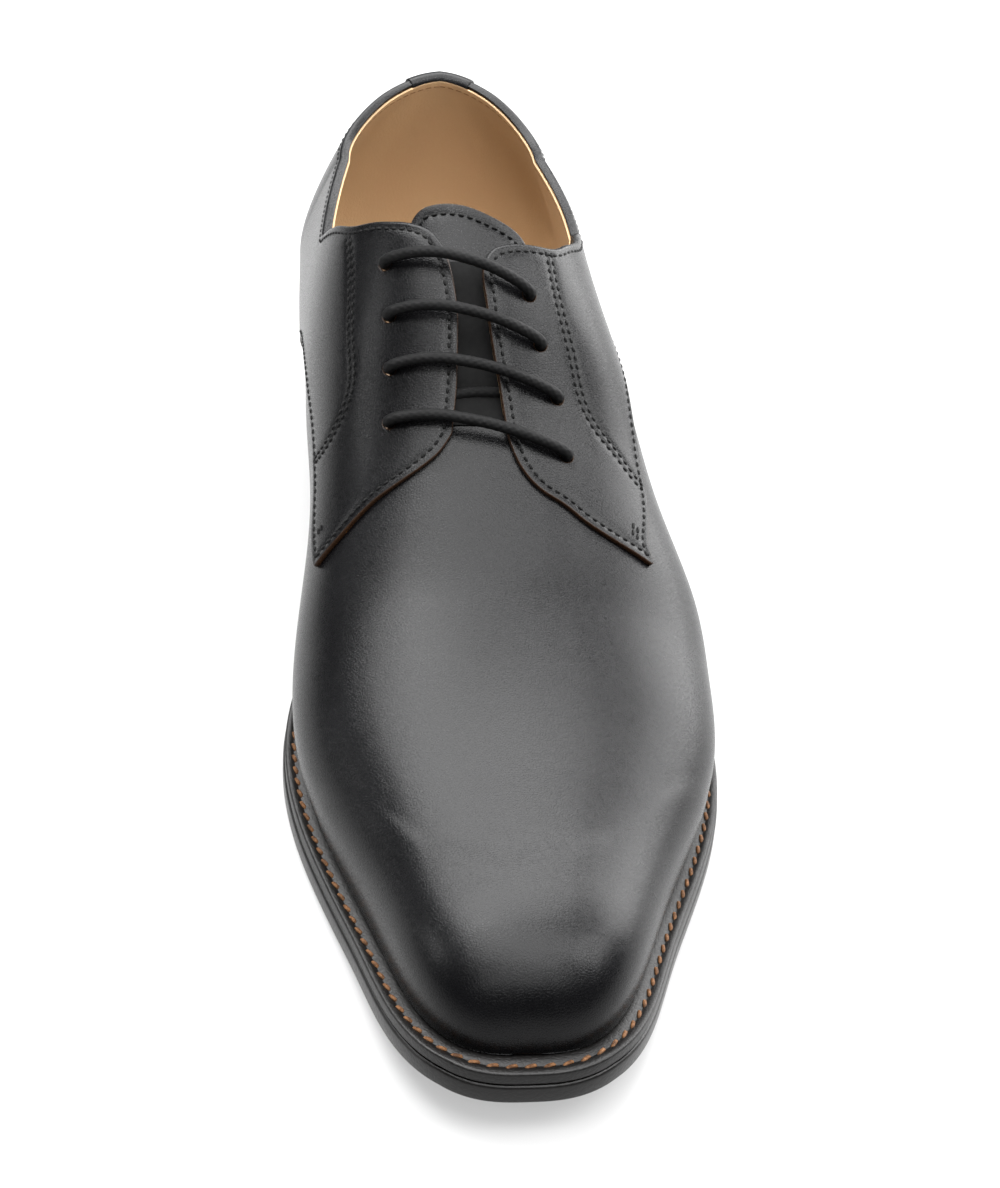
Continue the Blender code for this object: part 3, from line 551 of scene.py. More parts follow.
# Meshes
def new_piece(name, verts, faces, mat, replaced=(), rim=None, seam=None, sharp=None):
    mesh = bpy.data.meshes.new(name)
    mesh.from_pydata(np.asarray(verts).tolist(), [], [list(map(int, f)) for f in faces])
    mesh.validate()
    bm = bmesh.new()
    bm.from_mesh(mesh)
    bmesh.ops.recalc_face_normals(bm, faces=bm.faces)
    bm.to_mesh(mesh)
    bm.free()
    mesh.shade_smooth()
    if sharp:
        mesh.set_sharp_from_angle(angle=sharp)
    # seam carries painted shade along the stitch rows; rim marks the raw edges' own colour
    for label, values in (("rim", rim), ("seam", seam)):
        if values is not None and len(values) == len(mesh.vertices):
            layer = mesh.attributes.new(label, "FLOAT", "POINT")
            layer.data.foreach_set("value", np.asarray(values, np.float32))
    obj = bpy.data.objects.new(name, mesh)
    bpy.context.scene.collection.objects.link(obj)
    mesh.materials.append(mat)
    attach(obj, "root")
    if replaced:
        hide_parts(*replaced)


def weld(points):
    """Index of each point after points in one place are made one, and the kept points."""
    flat = points.reshape(-1, 3)
    keys = np.round(flat * 1e6).astype(np.int64)
    _, first, which = np.unique(keys, axis=0, return_index=True, return_inverse=True)
    return which.reshape(points.shape[:-1]), flat[first]


def quads(which, wrap_rows=False):
    """Faces of a grid of welded indices, without those that fold to a line."""
    a = which
    if wrap_rows:
        a = np.concatenate([a, a[:, :1]], 1)
    loops = np.stack([a[:-1, :-1], a[1:, :-1], a[1:, 1:], a[:-1, 1:]], -1).reshape(-1, 4)
    faces = []
    for loop in loops.tolist():
        loop = [v for k, v in enumerate(loop) if v != loop[k - 1]]
        if len(set(loop)) > 2 and len(set(loop)) == len(loop):
            faces.append(loop)
    return faces


def within(points, loops):
    """Which points lie in the first loop and in none of the others."""
    keep = inside(points, loops[0])
    for loop in loops[1:]:
        keep &= ~inside(points, loop)
    return keep


def patch(name, outline, holes, rows, high, thick, edge, mat, replaced=(), spacing=0.0016,
          tip=False):
    """A sheet of leather on the last's form, with rounded edges, real holes and a groove along each row."""
    loops = [resample(outline, spacing * 0.55, True)]
    loops += [resample(hole, 0.0004, True) for hole in holes]
    flat = [loop * SCALE_UV for loop in loops]
    low, top = flat[0].min(0), flat[0].max(0)
    gx, gy = np.meshgrid(np.arange(low[0], top[0], spacing), np.arange(low[1], top[1], spacing * 0.866))
    gx[1::2] += spacing / 2
    grid = np.stack([gx.ravel(), gy.ravel()], -1)
    border = np.concatenate(flat)
    room = edge(np.concatenate(loops)) + spacing * 0.35
    grid = grid[within(grid, flat)]
    extra = [beside(row, d) * SCALE_UV for row in rows for d in (0.0005, 0.0, -0.0005)]
    if extra:
        extra = np.concatenate(extra)
        extra = extra[within(extra, flat)]
        grid = grid[nearest(tree_of(extra), grid) > spacing * 0.4]
        grid = np.concatenate([grid, extra])
    tree = tree_of(border)
    found = [tree.find(Vector((*co, 0.0))) for co in grid]
    grid = grid[[f[2] > room[f[1]] for f in found]]
    points = np.concatenate([border, grid])
    links, start = [], 0
    for loop in flat:
        count = len(loop)
        links += [(start + k, start + (k + 1) % count) for k in range(count)]
        start += count
    made, _, tris, _, _, _ = delaunay_2d_cdt([Vector(p) for p in points], links, [], 0, 1e-7)
    uv = np.array([tuple(p) for p in made])
    tris = np.array([t for t in tris if len(t) == 3])
    tris = tris[within(uv[tris].mean(1), flat)][:, ::-1]
    uv = uv / SCALE_UV
    if tip:
        ends = np.where(uv[:, 0] > tip - 1e-5)[0]
        ends = ends[np.argsort(uv[ends, 1])]
        pairs = {(a, b) for t in tris.tolist() for a, b in zip(t, t[1:] + t[:1])}
        ahead = (int(ends[0]), int(ends[1])) in pairs
        fan = [(ends[0], ends[k], ends[k + 1]) for k in range(1, len(ends) - 1)]
        tris = np.concatenate([tris, [f[::-1] if ahead else f for f in fan]])
    used = np.unique(tris)
    tris = np.searchsorted(used, tris)
    uv = uv[used]
    n = len(uv)
    base, out = hit(uv), out_of(uv)
    height, depth, radius = high(uv), thick(uv), edge(uv)
    # Nearness to a stitch row: it sinks the groove and carries painted shade into the colour
    seam = np.zeros(n)
    if len(rows):
        line = np.concatenate([hit(resample(row, 0.0004)) for row in rows])
        gap = nearest(tree_of(line), base)
        seam = np.exp(-(gap / 0.00045) ** 2)
    directed = dict.fromkeys(e for a, b, c in tris.tolist() for e in ((a, b), (b, c), (c, a)))
    ahead = {a: b for a, b in directed if (b, a) not in directed}
    floor = feather_z(uv)

    def place(ids, inward, level, shift):
        p = base[ids] + inward * shift[:, None] + out[ids] * level[:, None]
        p[:, 2] = np.maximum(p[:, 2], floor[ids])
        return p
    every = np.arange(n)
    none = np.zeros((n, 3))
    verts = [place(every, none, height - GROOVE * seam, np.zeros(n))]
    bottom = place(every, none, height - depth, np.zeros(n))
    faces = [tuple(t) for t in tris.tolist()]
    rim = [np.zeros(n)]
    under_of = np.full(n, -1)
    count = n
    left = set(ahead)
    while left:
        first = left.pop()
        loop = [first]
        while ahead[loop[-1]] != first:
            loop.append(ahead[loop[-1]])
            left.discard(loop[-1])
        ids = np.array(loop)
        inward = unit(np.cross(out[ids], tangents(base[ids], True)))
        r, h, d = radius[ids], height[ids], depth[ids]
        verts[0][ids] = place(ids, inward, h, r)
        ring = [ids]
        levels = [(r * (1 - math.sin(a)), h - r * (1 - math.cos(a)))
                  for a in np.linspace(0, math.pi / 2, 5)[1:]]
        low_round = np.minimum(UNDER_ROUND, d - r - 1e-5)
        levels += [(low_round * (1 - math.cos(a)), h - d + low_round * (1 - math.sin(a)))
                   for a in np.linspace(0, math.pi / 2, 4)]
        for shift, level in levels:
            verts.append(place(ids, inward, level, shift))
            rim.append(np.where(r < 0.0006, 1.0, 0.0))
            ring.append(np.arange(count, count + len(ids)))
            count += len(ids)
        for a, b in zip(ring, ring[1:]):
            a2, b2 = np.roll(a, -1), np.roll(b, -1)
            faces += list(zip(a2.tolist(), a.tolist(), b.tolist(), b2.tolist()))
        under_of[ids] = ring[-1]
    free = np.where(under_of < 0)[0]
    under_of[free] = np.arange(count, count + len(free))
    verts.append(bottom[free])
    rim.append(np.ones(len(free)))
    faces += [tuple(t) for t in under_of[tris[:, ::-1]].tolist()]
    verts, rim = np.concatenate(verts), np.concatenate(rim)
    seams = np.zeros(len(verts))
    seams[:n] = seam
    new_piece(name, verts, faces, mat, replaced, rim, seams)


def stitch_row(uv, pitch, level, length):
    """Middle, outward direction, direction, length and slant of the stitches of a row over the form."""
    line = resample(uv, pitch / 8)
    p = hit(line, level)
    run = run_along(p)
    at = np.arange(0.5 * pitch, run[-1] - 0.3 * pitch, pitch)
    middle, out, ahead = (sampled(at, run, a) for a in (p, out_of(line), tangents(p, False)))
    return middle, unit(out), unit(ahead), pitch * length, 0.0


def stitches(name, rows, radius, mat, flat=0.75):
    """Short threads, each lying along its row and dipping into the leather at both ends."""
    around, steps = 8, 7
    a = np.arange(around) / around * 2 * np.pi
    s = np.linspace(-1, 1, steps)
    verts, faces, count = [], [], 0
    for middle, out, ahead, length, slant in rows:
        side = np.cross(out, ahead)
        ahead = ahead * math.cos(slant) + side * math.sin(slant)
        side = np.cross(out, ahead)
        fat = radius * np.sqrt(np.maximum(1 - np.abs(s) ** 4, 0.02))
        lift = radius * (0.35 - 0.9 * np.abs(s) ** 3)
        shape = (middle[:, None, None] + ahead[:, None, None] * (s * length / 2)[None, :, None, None]
                 + side[:, None, None] * (fat[:, None] * np.cos(a))[None, :, :, None]
                 + out[:, None, None] * (lift[:, None] + flat * fat[:, None] * np.sin(a))[None, :, :, None])
        m = len(middle)
        ids = np.arange(m * steps * around).reshape(m, steps, around) + count
        count += m * steps * around
        verts.append(shape.reshape(-1, 3))
        nxt = np.roll(ids, -1, 2)
        faces += np.stack([ids[:, :-1], nxt[:, :-1], nxt[:, 1:], ids[:, 1:]], -1).reshape(-1, 4).tolist()
        faces += ids[:, 0, ::-1].tolist() + ids[:, -1].tolist()
    new_piece(name, np.concatenate(verts), faces, mat)


# Materials
def nodes_of(name):
    mat = bpy.data.materials.new(name)
    mat.use_nodes = True
    tree = mat.node_tree
    return mat, tree, tree.nodes["Principled BSDF"]


def add(tree, kind, **values):
    node = tree.nodes.new(kind)
    for key, value in values.items():
        if key in node.inputs:
            node.inputs[key].default_value = value
        else:
            setattr(node, key, value)
    return node


def ramp(tree, source, stops):
    node = tree.nodes.new("ShaderNodeValToRGB")
    elements = node.color_ramp.elements
    while len(elements) < len(stops):
        elements.new(0.5)
    for element, (place, colour) in zip(elements, stops):
        element.position = place
        element.color = (*colour, 1) if len(colour) == 3 else (colour[0],) * 3 + (1,)
    tree.links.new(source, node.inputs[0])
    return node.outputs[0]


def blend(tree, amount, first, second):
    """A colour between two others, each a constant or a node's output."""
    node = add(tree, "ShaderNodeMix", data_type="RGBA")
    tree.links.new(amount, node.inputs[0])
    for socket, colour in ((node.inputs[6], first), (node.inputs[7], second)):
        if isinstance(colour, tuple):
            socket.default_value = (*colour, 1)
        else:
            tree.links.new(colour, socket)
    return node.outputs[2]


def leather(name, colour, light, roughness, grain, depth, coat=0.0, coat_roughness=0.2, edge=None,
            gloss_level=0.5, painted_depth_shade=None):
    """Smooth leather: two scales of grain in the bump, soft patches in the colour and in the gloss. Painted
    shade darkens it towards the bottom when asked, and along its stitch rows.
    """
    mat, tree, shader = nodes_of(name)
    link = tree.links.new
    place = add(tree, "ShaderNodeTexCoord").outputs["Object"]
    broad = add(tree, "ShaderNodeTexNoise", Scale=55.0, Detail=4.0)
    fine = add(tree, "ShaderNodeTexVoronoi", Scale=grain)
    fine.feature = "DISTANCE_TO_EDGE"
    dust = add(tree, "ShaderNodeTexNoise", Scale=grain * 2.2, Detail=3.0)
    for node in (broad, fine, dust):
        link(place, node.inputs["Vector"])
    tone = ramp(tree, broad.outputs[0], [(0.35, colour), (0.70, light)])
    # Painted shade: the colour darkens towards the bottom, below the given heights, as shade falls deep inside
    # the shoe
    if painted_depth_shade:
        shade, low, high = painted_depth_shade
        split = add(tree, "ShaderNodeSeparateXYZ")
        link(place, split.inputs[0])
        level = add(tree, "ShaderNodeMapRange")
        link(split.outputs["Z"], level.inputs["Value"])
        level.inputs["From Min"].default_value, level.inputs["From Max"].default_value = low, high
        tone = blend(tree, level.outputs[0], shade, tone)
    # Painted shade: the colour darkens along the stitch rows, in their grooves; the rim's edge colour is the
    # leather's own raw edge
    for label, shade in (("seam", tuple(c * 0.45 for c in colour)), ("rim", edge)):
        if shade is None:
            continue
        layer = add(tree, "ShaderNodeAttribute", attribute_name=label)
        tone = blend(tree, layer.outputs["Fac"], tone, shade)
    link(tone, shader.inputs["Base Color"])
    gloss = ramp(tree, dust.outputs[0], [(0.30, (roughness - 0.05,)), (0.75, (roughness + 0.07,))])
    link(gloss, shader.inputs["Roughness"])
    cells = ramp(tree, fine.outputs[0], [(0.0, (0.0,)), (0.20, (1.0,))])
    bumped = None
    for height, strength, distance in ((cells, depth, 0.00012), (dust.outputs[0], depth * 0.8, 0.00010),
                                       (broad.outputs[0], 0.10, 0.0012)):
        bump = add(tree, "ShaderNodeBump", Strength=strength, Distance=distance)
        link(height, bump.inputs["Height"])
        if bumped:
            link(bumped, bump.inputs["Normal"])
        bumped = bump.outputs[0]
    link(bumped, shader.inputs["Normal"])
    shader.inputs["Coat Weight"].default_value = coat
    shader.inputs["Coat Roughness"].default_value = coat_roughness
    shader.inputs["Specular IOR Level"].default_value = gloss_level
    return mat


def threads(name, colour, light, scale, roughness=0.7):
    """Twisted thread: a fine slanted band in colour and bump."""
    mat, tree, shader = nodes_of(name)
    link = tree.links.new
    place = add(tree, "ShaderNodeTexCoord").outputs["Object"]
    wave = add(tree, "ShaderNodeTexWave", Scale=scale, Distortion=1.5)
    wave.bands_direction = "DIAGONAL"
    noise = add(tree, "ShaderNodeTexNoise", Scale=900.0, Detail=2.0)
    for node in (wave, noise):
        link(place, node.inputs["Vector"])
    link(ramp(tree, noise.outputs[0], [(0.3, colour), (0.7, light)]), shader.inputs["Base Color"])
    bump = add(tree, "ShaderNodeBump", Strength=0.5, Distance=0.00008)
    link(wave.outputs[0], bump.inputs["Height"])
    link(bump.outputs[0], shader.inputs["Normal"])
    shader.inputs["Roughness"].default_value = roughness
    shader.inputs["Specular IOR Level"].default_value = 0.16
    return mat


calf = leather("black_calf", (0.0016, 0.0016, 0.0019), (0.0028, 0.0028, 0.0032), 0.27, 1500.0, 0.22,
               coat=0.03, coat_roughness=0.16, edge=(0.020, 0.0095, 0.0045), gloss_level=0.165)
# The lining takes painted shade lower down inside the shoe
lining_leather = leather("tan_lining", (0.38, 0.31, 0.22), (0.54, 0.47, 0.36), 0.55, 900.0, 0.35,
                         edge=(0.42, 0.27, 0.14), painted_depth_shade=((0.080, 0.054, 0.034), 0.064, 0.110))
sock_leather = leather("brown_sock", (0.17, 0.11, 0.065), (0.23, 0.155, 0.095), 0.55, 900.0, 0.35)
# Dark sheet material: painted shade in the slot between the facings
shade_sheet_textile = threads("shade_sheet_textile", (0.0020, 0.0020, 0.0020), (0.0045, 0.0045, 0.0045), 1400.0, 0.85)
black_thread = threads("black_thread", (0.0012, 0.0012, 0.0012), (0.0030, 0.0030, 0.0030), 2400.0, 0.55)
tan_thread = threads("tan_thread", (0.050, 0.022, 0.009), (0.17, 0.080, 0.034), 1800.0, 0.62)
lining_thread = threads("lining_thread", (0.16, 0.085, 0.04), (0.22, 0.12, 0.06), 2400.0, 0.7)
waxed = threads("waxed_cord", (0.0008, 0.0008, 0.0009), (0.0020, 0.0020, 0.0021), 1600.0, 0.6)
sole_edge = leather("sole_edge", (0.0030, 0.0027, 0.0026), (0.0048, 0.0043, 0.0040), 0.34, 700.0, 0.18,
                    coat=0.05, coat_roughness=0.2, gloss_level=0.25)
welt_leather = leather("welt_leather", (0.0026, 0.0023, 0.0022), (0.0044, 0.0038, 0.0035), 0.42, 800.0, 0.30,
                       coat=0.05, coat_roughness=0.25, gloss_level=0.25)
stack_leather = leather("heel_leather", (0.0030, 0.0027, 0.0026), (0.0048, 0.0043, 0.0040), 0.36, 700.0, 0.20,
                        coat=0.05, coat_roughness=0.22, gloss_level=0.25)
heel_rubber = leather("heel_rubber", (0.0050, 0.0050, 0.0050), (0.0080, 0.0080, 0.0080), 0.62, 1200.0, 0.30)


# Lines on the form
def smooth(x, low, high):
    t = np.clip((np.asarray(x, float) - low) / (high - low), 0, 1)
    return t * t * (3 - 2 * t)


def rim_line(side, last=SLOT_TOP_AT):
    """Collar and facing top of one side as signed u and v, from the heel forwards."""
    u = np.linspace(0, u_at(last), 160)
    return facing_uv(u, side, top_v(u, side))


def slot_line(side):
    at = np.linspace(SLOT_TOP_AT, SLOT_FOOT_AT, 60)[1:]
    return facing_uv(u_at(at), side, slot_edge(at, side))


def front_line(side):
    at = np.linspace(SLOT_FOOT_AT + 1e-5, TIP_AT[side], 90)
    return facing_uv(u_at(at), side, front_v(at, side))


def seam_line(side, first=SIDE_SEAM["at"][0]):
    """Side seam of one side, from the facing's tip back."""
    at = np.linspace(TIP_AT[side], first, 120)[1:]
    return facing_uv(u_at(at), side, seam_v(at, side))


def upper_edge(side):
    """Collar, facing, slot and lower front edge as one line, with its corners softened."""
    line = np.concatenate([rim_line(side), slot_line(side), front_line(side)])
    line = resample(line, LINE_STEP)
    return round_corner(line, facing_uv(u_at(SLOT_TOP_AT), side, slot_edge(SLOT_TOP_AT, side)), 0.0040)


def quarter_outline():
    """One side's edges from the heel to the tip and back along the seam, then the other side's."""
    halves = []
    for side in (LATERAL, MEDIAL):
        line = np.concatenate([upper_edge(side), seam_line(side)])
        tip = facing_uv(u_at(TIP_AT[side]), side, seam_v(np.array(TIP_AT[side]), side))
        halves.append(round_corner(resample(line, LINE_STEP), tip, 0.0022))
    lateral, medial = halves
    a = np.linspace(lateral[-1, 0], medial[-1, 0], 160)[1:-1]
    bottom = np.stack([a, 0 * a], -1)
    return np.concatenate([lateral, bottom, medial[::-1][:-1]])


# Leather of the upper
def at_of(uv):
    return along(np.abs(uv[:, 0]))


def side_v(uv):
    """Side and v of points that run on past the crest."""
    side = np.where(uv[:, 1] > 1, MEDIAL, LATERAL)
    return side, np.where(uv[:, 1] > 1, 2 - uv[:, 1], uv[:, 1])


def to_rim(uv):
    """Metres below the collar's edge, measured over the form; large ahead of the facings."""
    side = np.where(uv[:, 0] < 0, MEDIAL, LATERAL)
    u = np.abs(uv[:, 0])
    top = np.where(side > 0, top_v(u, LATERAL), top_v(u, MEDIAL))
    return np.where(along(u) < SLOT_TOP_AT - 0.004, (top - uv[:, 1]) * SCALE_UV[1], 0.05)


def quarter_thick(uv):
    return QUARTER_SHEET + (RIM_THICK - QUARTER_SHEET) * (1 - smooth(to_rim(uv), 0.002, 0.005))


def quarter_round(uv):
    return np.where(to_rim(uv) < 0.0012, RIM_ROUND, EDGE_ROUND)


# Creases of the vamp: station, how far each side of the crest it runs, depth, half width
CREASES = ((0.508, 0.16, 0.00014, 0.0009), (0.517, 0.20, 0.00012, 0.0011))


def vamp_high(uv):
    at, (side, v) = at_of(uv), side_v(uv)
    under = smooth(v, 0.50, 0.62)
    high = -TONGUE_DROP * (1 - smooth(at, 0.440, 0.503)) * under
    for place, reach, depth, half in CREASES:
        bow = place + 0.018 * (1 - v) ** 2
        trough = np.exp(-((at - bow) * LAST_LENGTH / half) ** 2)
        high = high - depth * trough * (1 - smooth(1 - v, reach * 0.6, reach))
    stiff = np.interp(v, (0.2, 0.46, 0.69, 0.97), (0.735, 0.765, 0.845, 0.872))
    return high + 0.00030 * smooth(at - stiff, -0.012, 0.016)


def vamp_outline():
    """The vamp's wings end under the quarters, and its middle goes on as the tongue."""
    halves = []
    for side in (LATERAL, MEDIAL):
        back = np.linspace(WING_AT, TONGUE_AT, 70)
        wing = seam_v(np.maximum(back, 0.211), side) + 0.055
        top_at, top_v_there = (0.3413, 0.745) if side > 0 else (0.3302, 0.795)
        tongue_at = np.linspace(TONGUE_AT, top_at, 50)
        tongue_v = np.interp(tongue_at, (top_at, 0.40, TONGUE_AT), (top_v_there, 0.735, 0.69))
        halves.append(np.concatenate([over_uv(u_at(back), side, wing),
                                      over_uv(u_at(tongue_at), side, tongue_v)]))
    v = np.linspace(0.755, 1.195, 40)
    tip = np.interp(v, (0.745, 0.817, 0.887, 0.967, 1.06, 1.143, 1.205),
                    (0.3413, 0.3385, 0.3365, 0.3335, 0.3312, 0.3292, 0.3302))
    top = np.stack([u_at(tip), v], -1)
    feather_u = np.linspace(u_at(WING_AT), FRONT_U, 260)
    front = np.stack([np.full(60, FRONT_U), np.linspace(0, 2, 60)], -1)
    lateral = np.stack([feather_u, 0 * feather_u], -1)[::-1]
    medial = np.stack([feather_u, 0 * feather_u + 2], -1)
    loop = np.concatenate([halves[0], top, halves[1][::-1], medial[1:], front[::-1][1:-1], lateral[:-1]])
    for half in halves:
        loop = round_corner(loop, half[-1], 0.0045)
    return loop


def tongue_edge():
    """The tongue's free edge, from one facing round its top to the other."""
    loop = resample(vamp_outline(), LINE_STEP, True)
    return loop[(loop[:, 0] < u_at(0.395)) & (loop[:, 1] > 0.6) & (loop[:, 1] < 1.4)]


def constant(value):
    return lambda uv: np.full(len(uv), value)


def doubled(points, side):
    """Two parallel rows through a few landmarks on a quarter."""
    at, v = (np.array(c) for c in zip(*points))
    run = np.concatenate([[0], np.cumsum(np.hypot(np.diff(at) * 3.2, np.diff(v)))])
    t = np.linspace(0, run[-1], 120)
    line = facing_uv(u_at(fair(run, at)(t)), side, fair(run, v)(t))
    line = resample(line, LINE_STEP)
    return [beside(line, 0.00082), beside(line, -0.00082)]


def trimmed(line, start, end):
    """A line without so many metres at its two ends."""
    run = run_along(hit(line))
    return line[(run > start) & (run < run[-1] - end)]


ROW_MEDIAL = ((0.312, 0.575), (0.3443, 0.591), (0.4008, 0.578), (0.426, 0.572), (0.4341, 0.546),
              (0.4391, 0.511), (0.4422, 0.446), (0.4331, 0.345))
ROW_LATERAL = ((0.3503, 0.717), (0.3766, 0.717), (0.3978, 0.707), (0.426, 0.682), (0.4512, 0.662),
               (0.4664, 0.622), (0.4765, 0.571), (0.4845, 0.536), (0.4896, 0.500))

quarter_rows = []
for side in (LATERAL, MEDIAL):
    edge_line = upper_edge(side)
    quarter_rows.append(beside(trimmed(edge_line, 0.0, 0.002), STITCH_INSET * side))
    quarter_rows.append(beside(trimmed(seam_line(side, 0.24), 0.001, 0.0), STITCH_INSET * 0.8 * side))
quarter_rows += doubled(ROW_MEDIAL, MEDIAL) + doubled(ROW_LATERAL, LATERAL)

holes = []
for name, side in (("medial", MEDIAL), ("lateral", LATERAL)):
    for at, x in zip(HOLES[name + "_at"], HOLES[name]):
        s, v = v_across(np.array(at), np.array(x * HALF_BALL))
        u = float(u_at(at))
        if s != side:
            v = 2 - v
        here = np.array([[u * side, float(v)]])
        pu, pv = ((on_form(here + step) - on_form(here))[0] / UV_STEP
                  for step in ((UV_STEP, 0), (0, UV_STEP)))
        turn = np.arange(28) / 28 * 2 * np.pi
        d1 = pu / np.linalg.norm(pu)
        d2 = pv - d1 * (pv @ d1)
        d2 /= np.linalg.norm(d2)
        want = (np.cos(turn)[:, None] * d1 + np.sin(turn)[:, None] * d2) * HOLE_DIAMETER / 2
        steps = want @ np.linalg.pinv(np.stack([pu, pv]))
        holes.append((name, here[0], here + steps))
hole_loops = [loop for _, _, loop in holes]
wide_loops = [here + (loop - here) * LINING_HOLES for _, here, loop in holes]

patch("quarters", quarter_outline(), hole_loops, quarter_rows, constant(OVERLAY), quarter_thick,
      quarter_round, calf, ("upper",))
tongue_row = [beside(trimmed(tongue_edge(), 0.001, 0.001), 0.0027)]
patch("vamp_and_tongue", vamp_outline(), [], tongue_row, vamp_high, constant(TONGUE_SHEET),
      constant(EDGE_ROUND), calf, ("tongue",), tip=FRONT_U)


def slot_shade_sheet():
    """A dark sheet on the tongue where the slot shows it: painted shade for the slot between the facings."""
    at = np.linspace(0.375, 0.486, 60)
    low = np.stack([u_at(at), 0 * at + 0.80], -1)
    high_edge = np.stack([u_at(at), 0 * at + 1.16], -1)
    loop = np.concatenate([low, high_edge[::-1]])
    patch("slot_shade_sheet", loop, [], [], lambda uv: vamp_high(uv) + 0.00045, constant(0.0004),
          constant(0.00015), shade_sheet_textile)


slot_shade_sheet()


# Lining and sock
def lining_high(uv):
    """Close under the quarter along the slot, elsewhere under the vamp's wings."""
    side = np.where(uv[:, 0] < 0, MEDIAL, LATERAL)
    at = at_of(uv)
    near_slot = smooth(at, 0.345, 0.385) * smooth(uv[:, 1], 0.50, 0.66)
    return LINING_LEVEL + 0.00115 * near_slot


def lining_outline():
    halves = []
    for side in (LATERAL, MEDIAL):
        rim = beside(resample(rim_line(side), 0.0008), 0.0008 * side)
        slot_part = beside(resample(slot_line(side), 0.0008), 0.0002 * side)
        slot_part = slot_part[along(np.abs(slot_part[:, 0])) < LINING_FRONT_AT]
        line = np.concatenate([rim[:-8], slot_part[4:]])
        down_v = np.linspace(slot_part[-1, 1], 0.03, 70)[1:]
        down = facing_uv(np.full(len(down_v), u_at(LINING_FRONT_AT)), side, down_v)
        halves.append(np.concatenate([line, down]))
    lateral, medial = halves
    a = np.linspace(lateral[-1, 0], medial[-1, 0], 200)[1:-1]
    bottom = np.stack([a, 0 * a + 0.03], -1)
    return np.concatenate([lateral, bottom, medial[::-1][:-1]])


lining_rows = [beside(resample(rim_line(side, 0.372), LINE_STEP), 0.0026 * side) for side in (LATERAL, MEDIAL)]
patch("quarter_lining", lining_outline(), wide_loops, [], lining_high, constant(LINING_THICK),
      constant(0.0003), lining_leather, spacing=0.0022)


def vamp_lining():
    """The lining ahead of the facings, down to the sock."""
    u0, u1 = u_at(LINING_FRONT_AT), 0.993
    u = np.linspace(u0, u1, 220)
    across = np.linspace(0.05, 1.95, 90)
    loop = [np.stack([u, 0 * u + 0.05], -1), np.stack([0 * across + u1, across], -1)[1:],
            np.stack([u[::-1], 0 * u + 1.95], -1)[1:], np.stack([0 * across + u0, across[::-1]], -1)[1:-1]]
    loop = np.concatenate(loop)[::-1]

    def high(uv):
        return np.where(side_v(uv)[1] > 0.5, vamp_high(uv), 0) - TONGUE_SHEET - 0.00005
    patch("vamp_lining", loop, [], [], high, constant(0.0006), constant(0.00025), lining_leather,
          spacing=0.0034, tip=u1)


vamp_lining()


# Plan of the sole
def even_u(count=330):
    """Values of u which lie an even distance apart round the upper's lower edge."""
    u = np.concatenate([np.linspace(0, FAN_U, 500)[:-1], np.linspace(FAN_U, CAP_U, 1200)[:-1],
                        np.linspace(CAP_U, 1, 2500)])
    run = run_along(last_point(u, LATERAL, 0 * u)[:, :2])
    return np.interp(np.linspace(0, run[-1], count), run, u)


RIM_U = even_u()
both_u = np.concatenate([RIM_U, RIM_U[::-1][1:-1]])
both_side = np.concatenate([np.full(len(RIM_U), 1.0), np.full(len(RIM_U) - 2, -1.0)])
both_at = along(both_u)
feather = last_point(both_u, both_side, 0 * both_u)[:, :2]
feather_out = np.roll(feather, -1, 0) - np.roll(feather, 1, 0)
feather_out = unit(np.stack([feather_out[:, 1], -feather_out[:, 0]], -1))
if feather_out[len(RIM_U) - 1, 1] > 0:
    feather_out = -feather_out


def around(distance):
    """Closed plan line round the shoe at a distance outside the upper's lower edge."""
    amount = distance(both_at) if callable(distance) else np.full(len(both_at), distance)
    return feather + feather_out * amount[:, None]


def station_of(xy):
    return np.clip((origin[1] - xy[:, 1]) / LAST_LENGTH, 0, 1)


def plate(name, rings, mat, replaced=(), hollow=False, grid=0.004):
    """A closed body from plan loops with heights; the first and last are filled, or joined when hollow."""
    count = len(rings[0][0])
    verts = np.concatenate([np.column_stack([xy, z]) for xy, z in rings])
    faces = []
    order = list(range(len(rings))) + ([0] if hollow else [])
    for a, b in zip(order, order[1:]):
        i = np.arange(count)
        j = (i + 1) % count
        faces += np.stack([a * count + i, a * count + j, b * count + j, b * count + i], -1).tolist()
    if not hollow:
        for k in (0, len(rings) - 1):
            xy, z = rings[k]
            low, top = xy.min(0), xy.max(0)
            gx, gy = np.meshgrid(np.arange(low[0], top[0], grid), np.arange(low[1], top[1], grid))
            pts = np.stack([gx.ravel(), gy.ravel()], -1)
            pts = pts[inside(pts, xy)]
            pts = pts[nearest(tree_of(xy), pts) > grid * 0.4]
            every = np.concatenate([xy, pts])
            links = [(i, (i + 1) % count) for i in range(count)]
            made, _, tris, _, _, _ = delaunay_2d_cdt([Vector(p) for p in every], links, [], 1, 1e-8)
            flat = np.array([tuple(p) for p in made])
            tris = [t for t in tris if len(t) == 3]
            height = np.interp(flat[:, 1], *height_of(xy, z))
            where = [k * count + i if i < count else len(verts) + i - count for i in range(len(flat))]
            verts = np.concatenate([verts, np.column_stack([flat[count:], height[count:]])])
            faces += [[where[i] for i in t] for t in tris]
    new_piece(name, verts, faces, mat, replaced, sharp=0.9)


def height_of(xy, z):
    order = np.argsort(xy[:, 1])
    return xy[order, 1], z[order]


def ring(distance, level):
    xy = around(distance)
    return xy, level(station_of(xy))


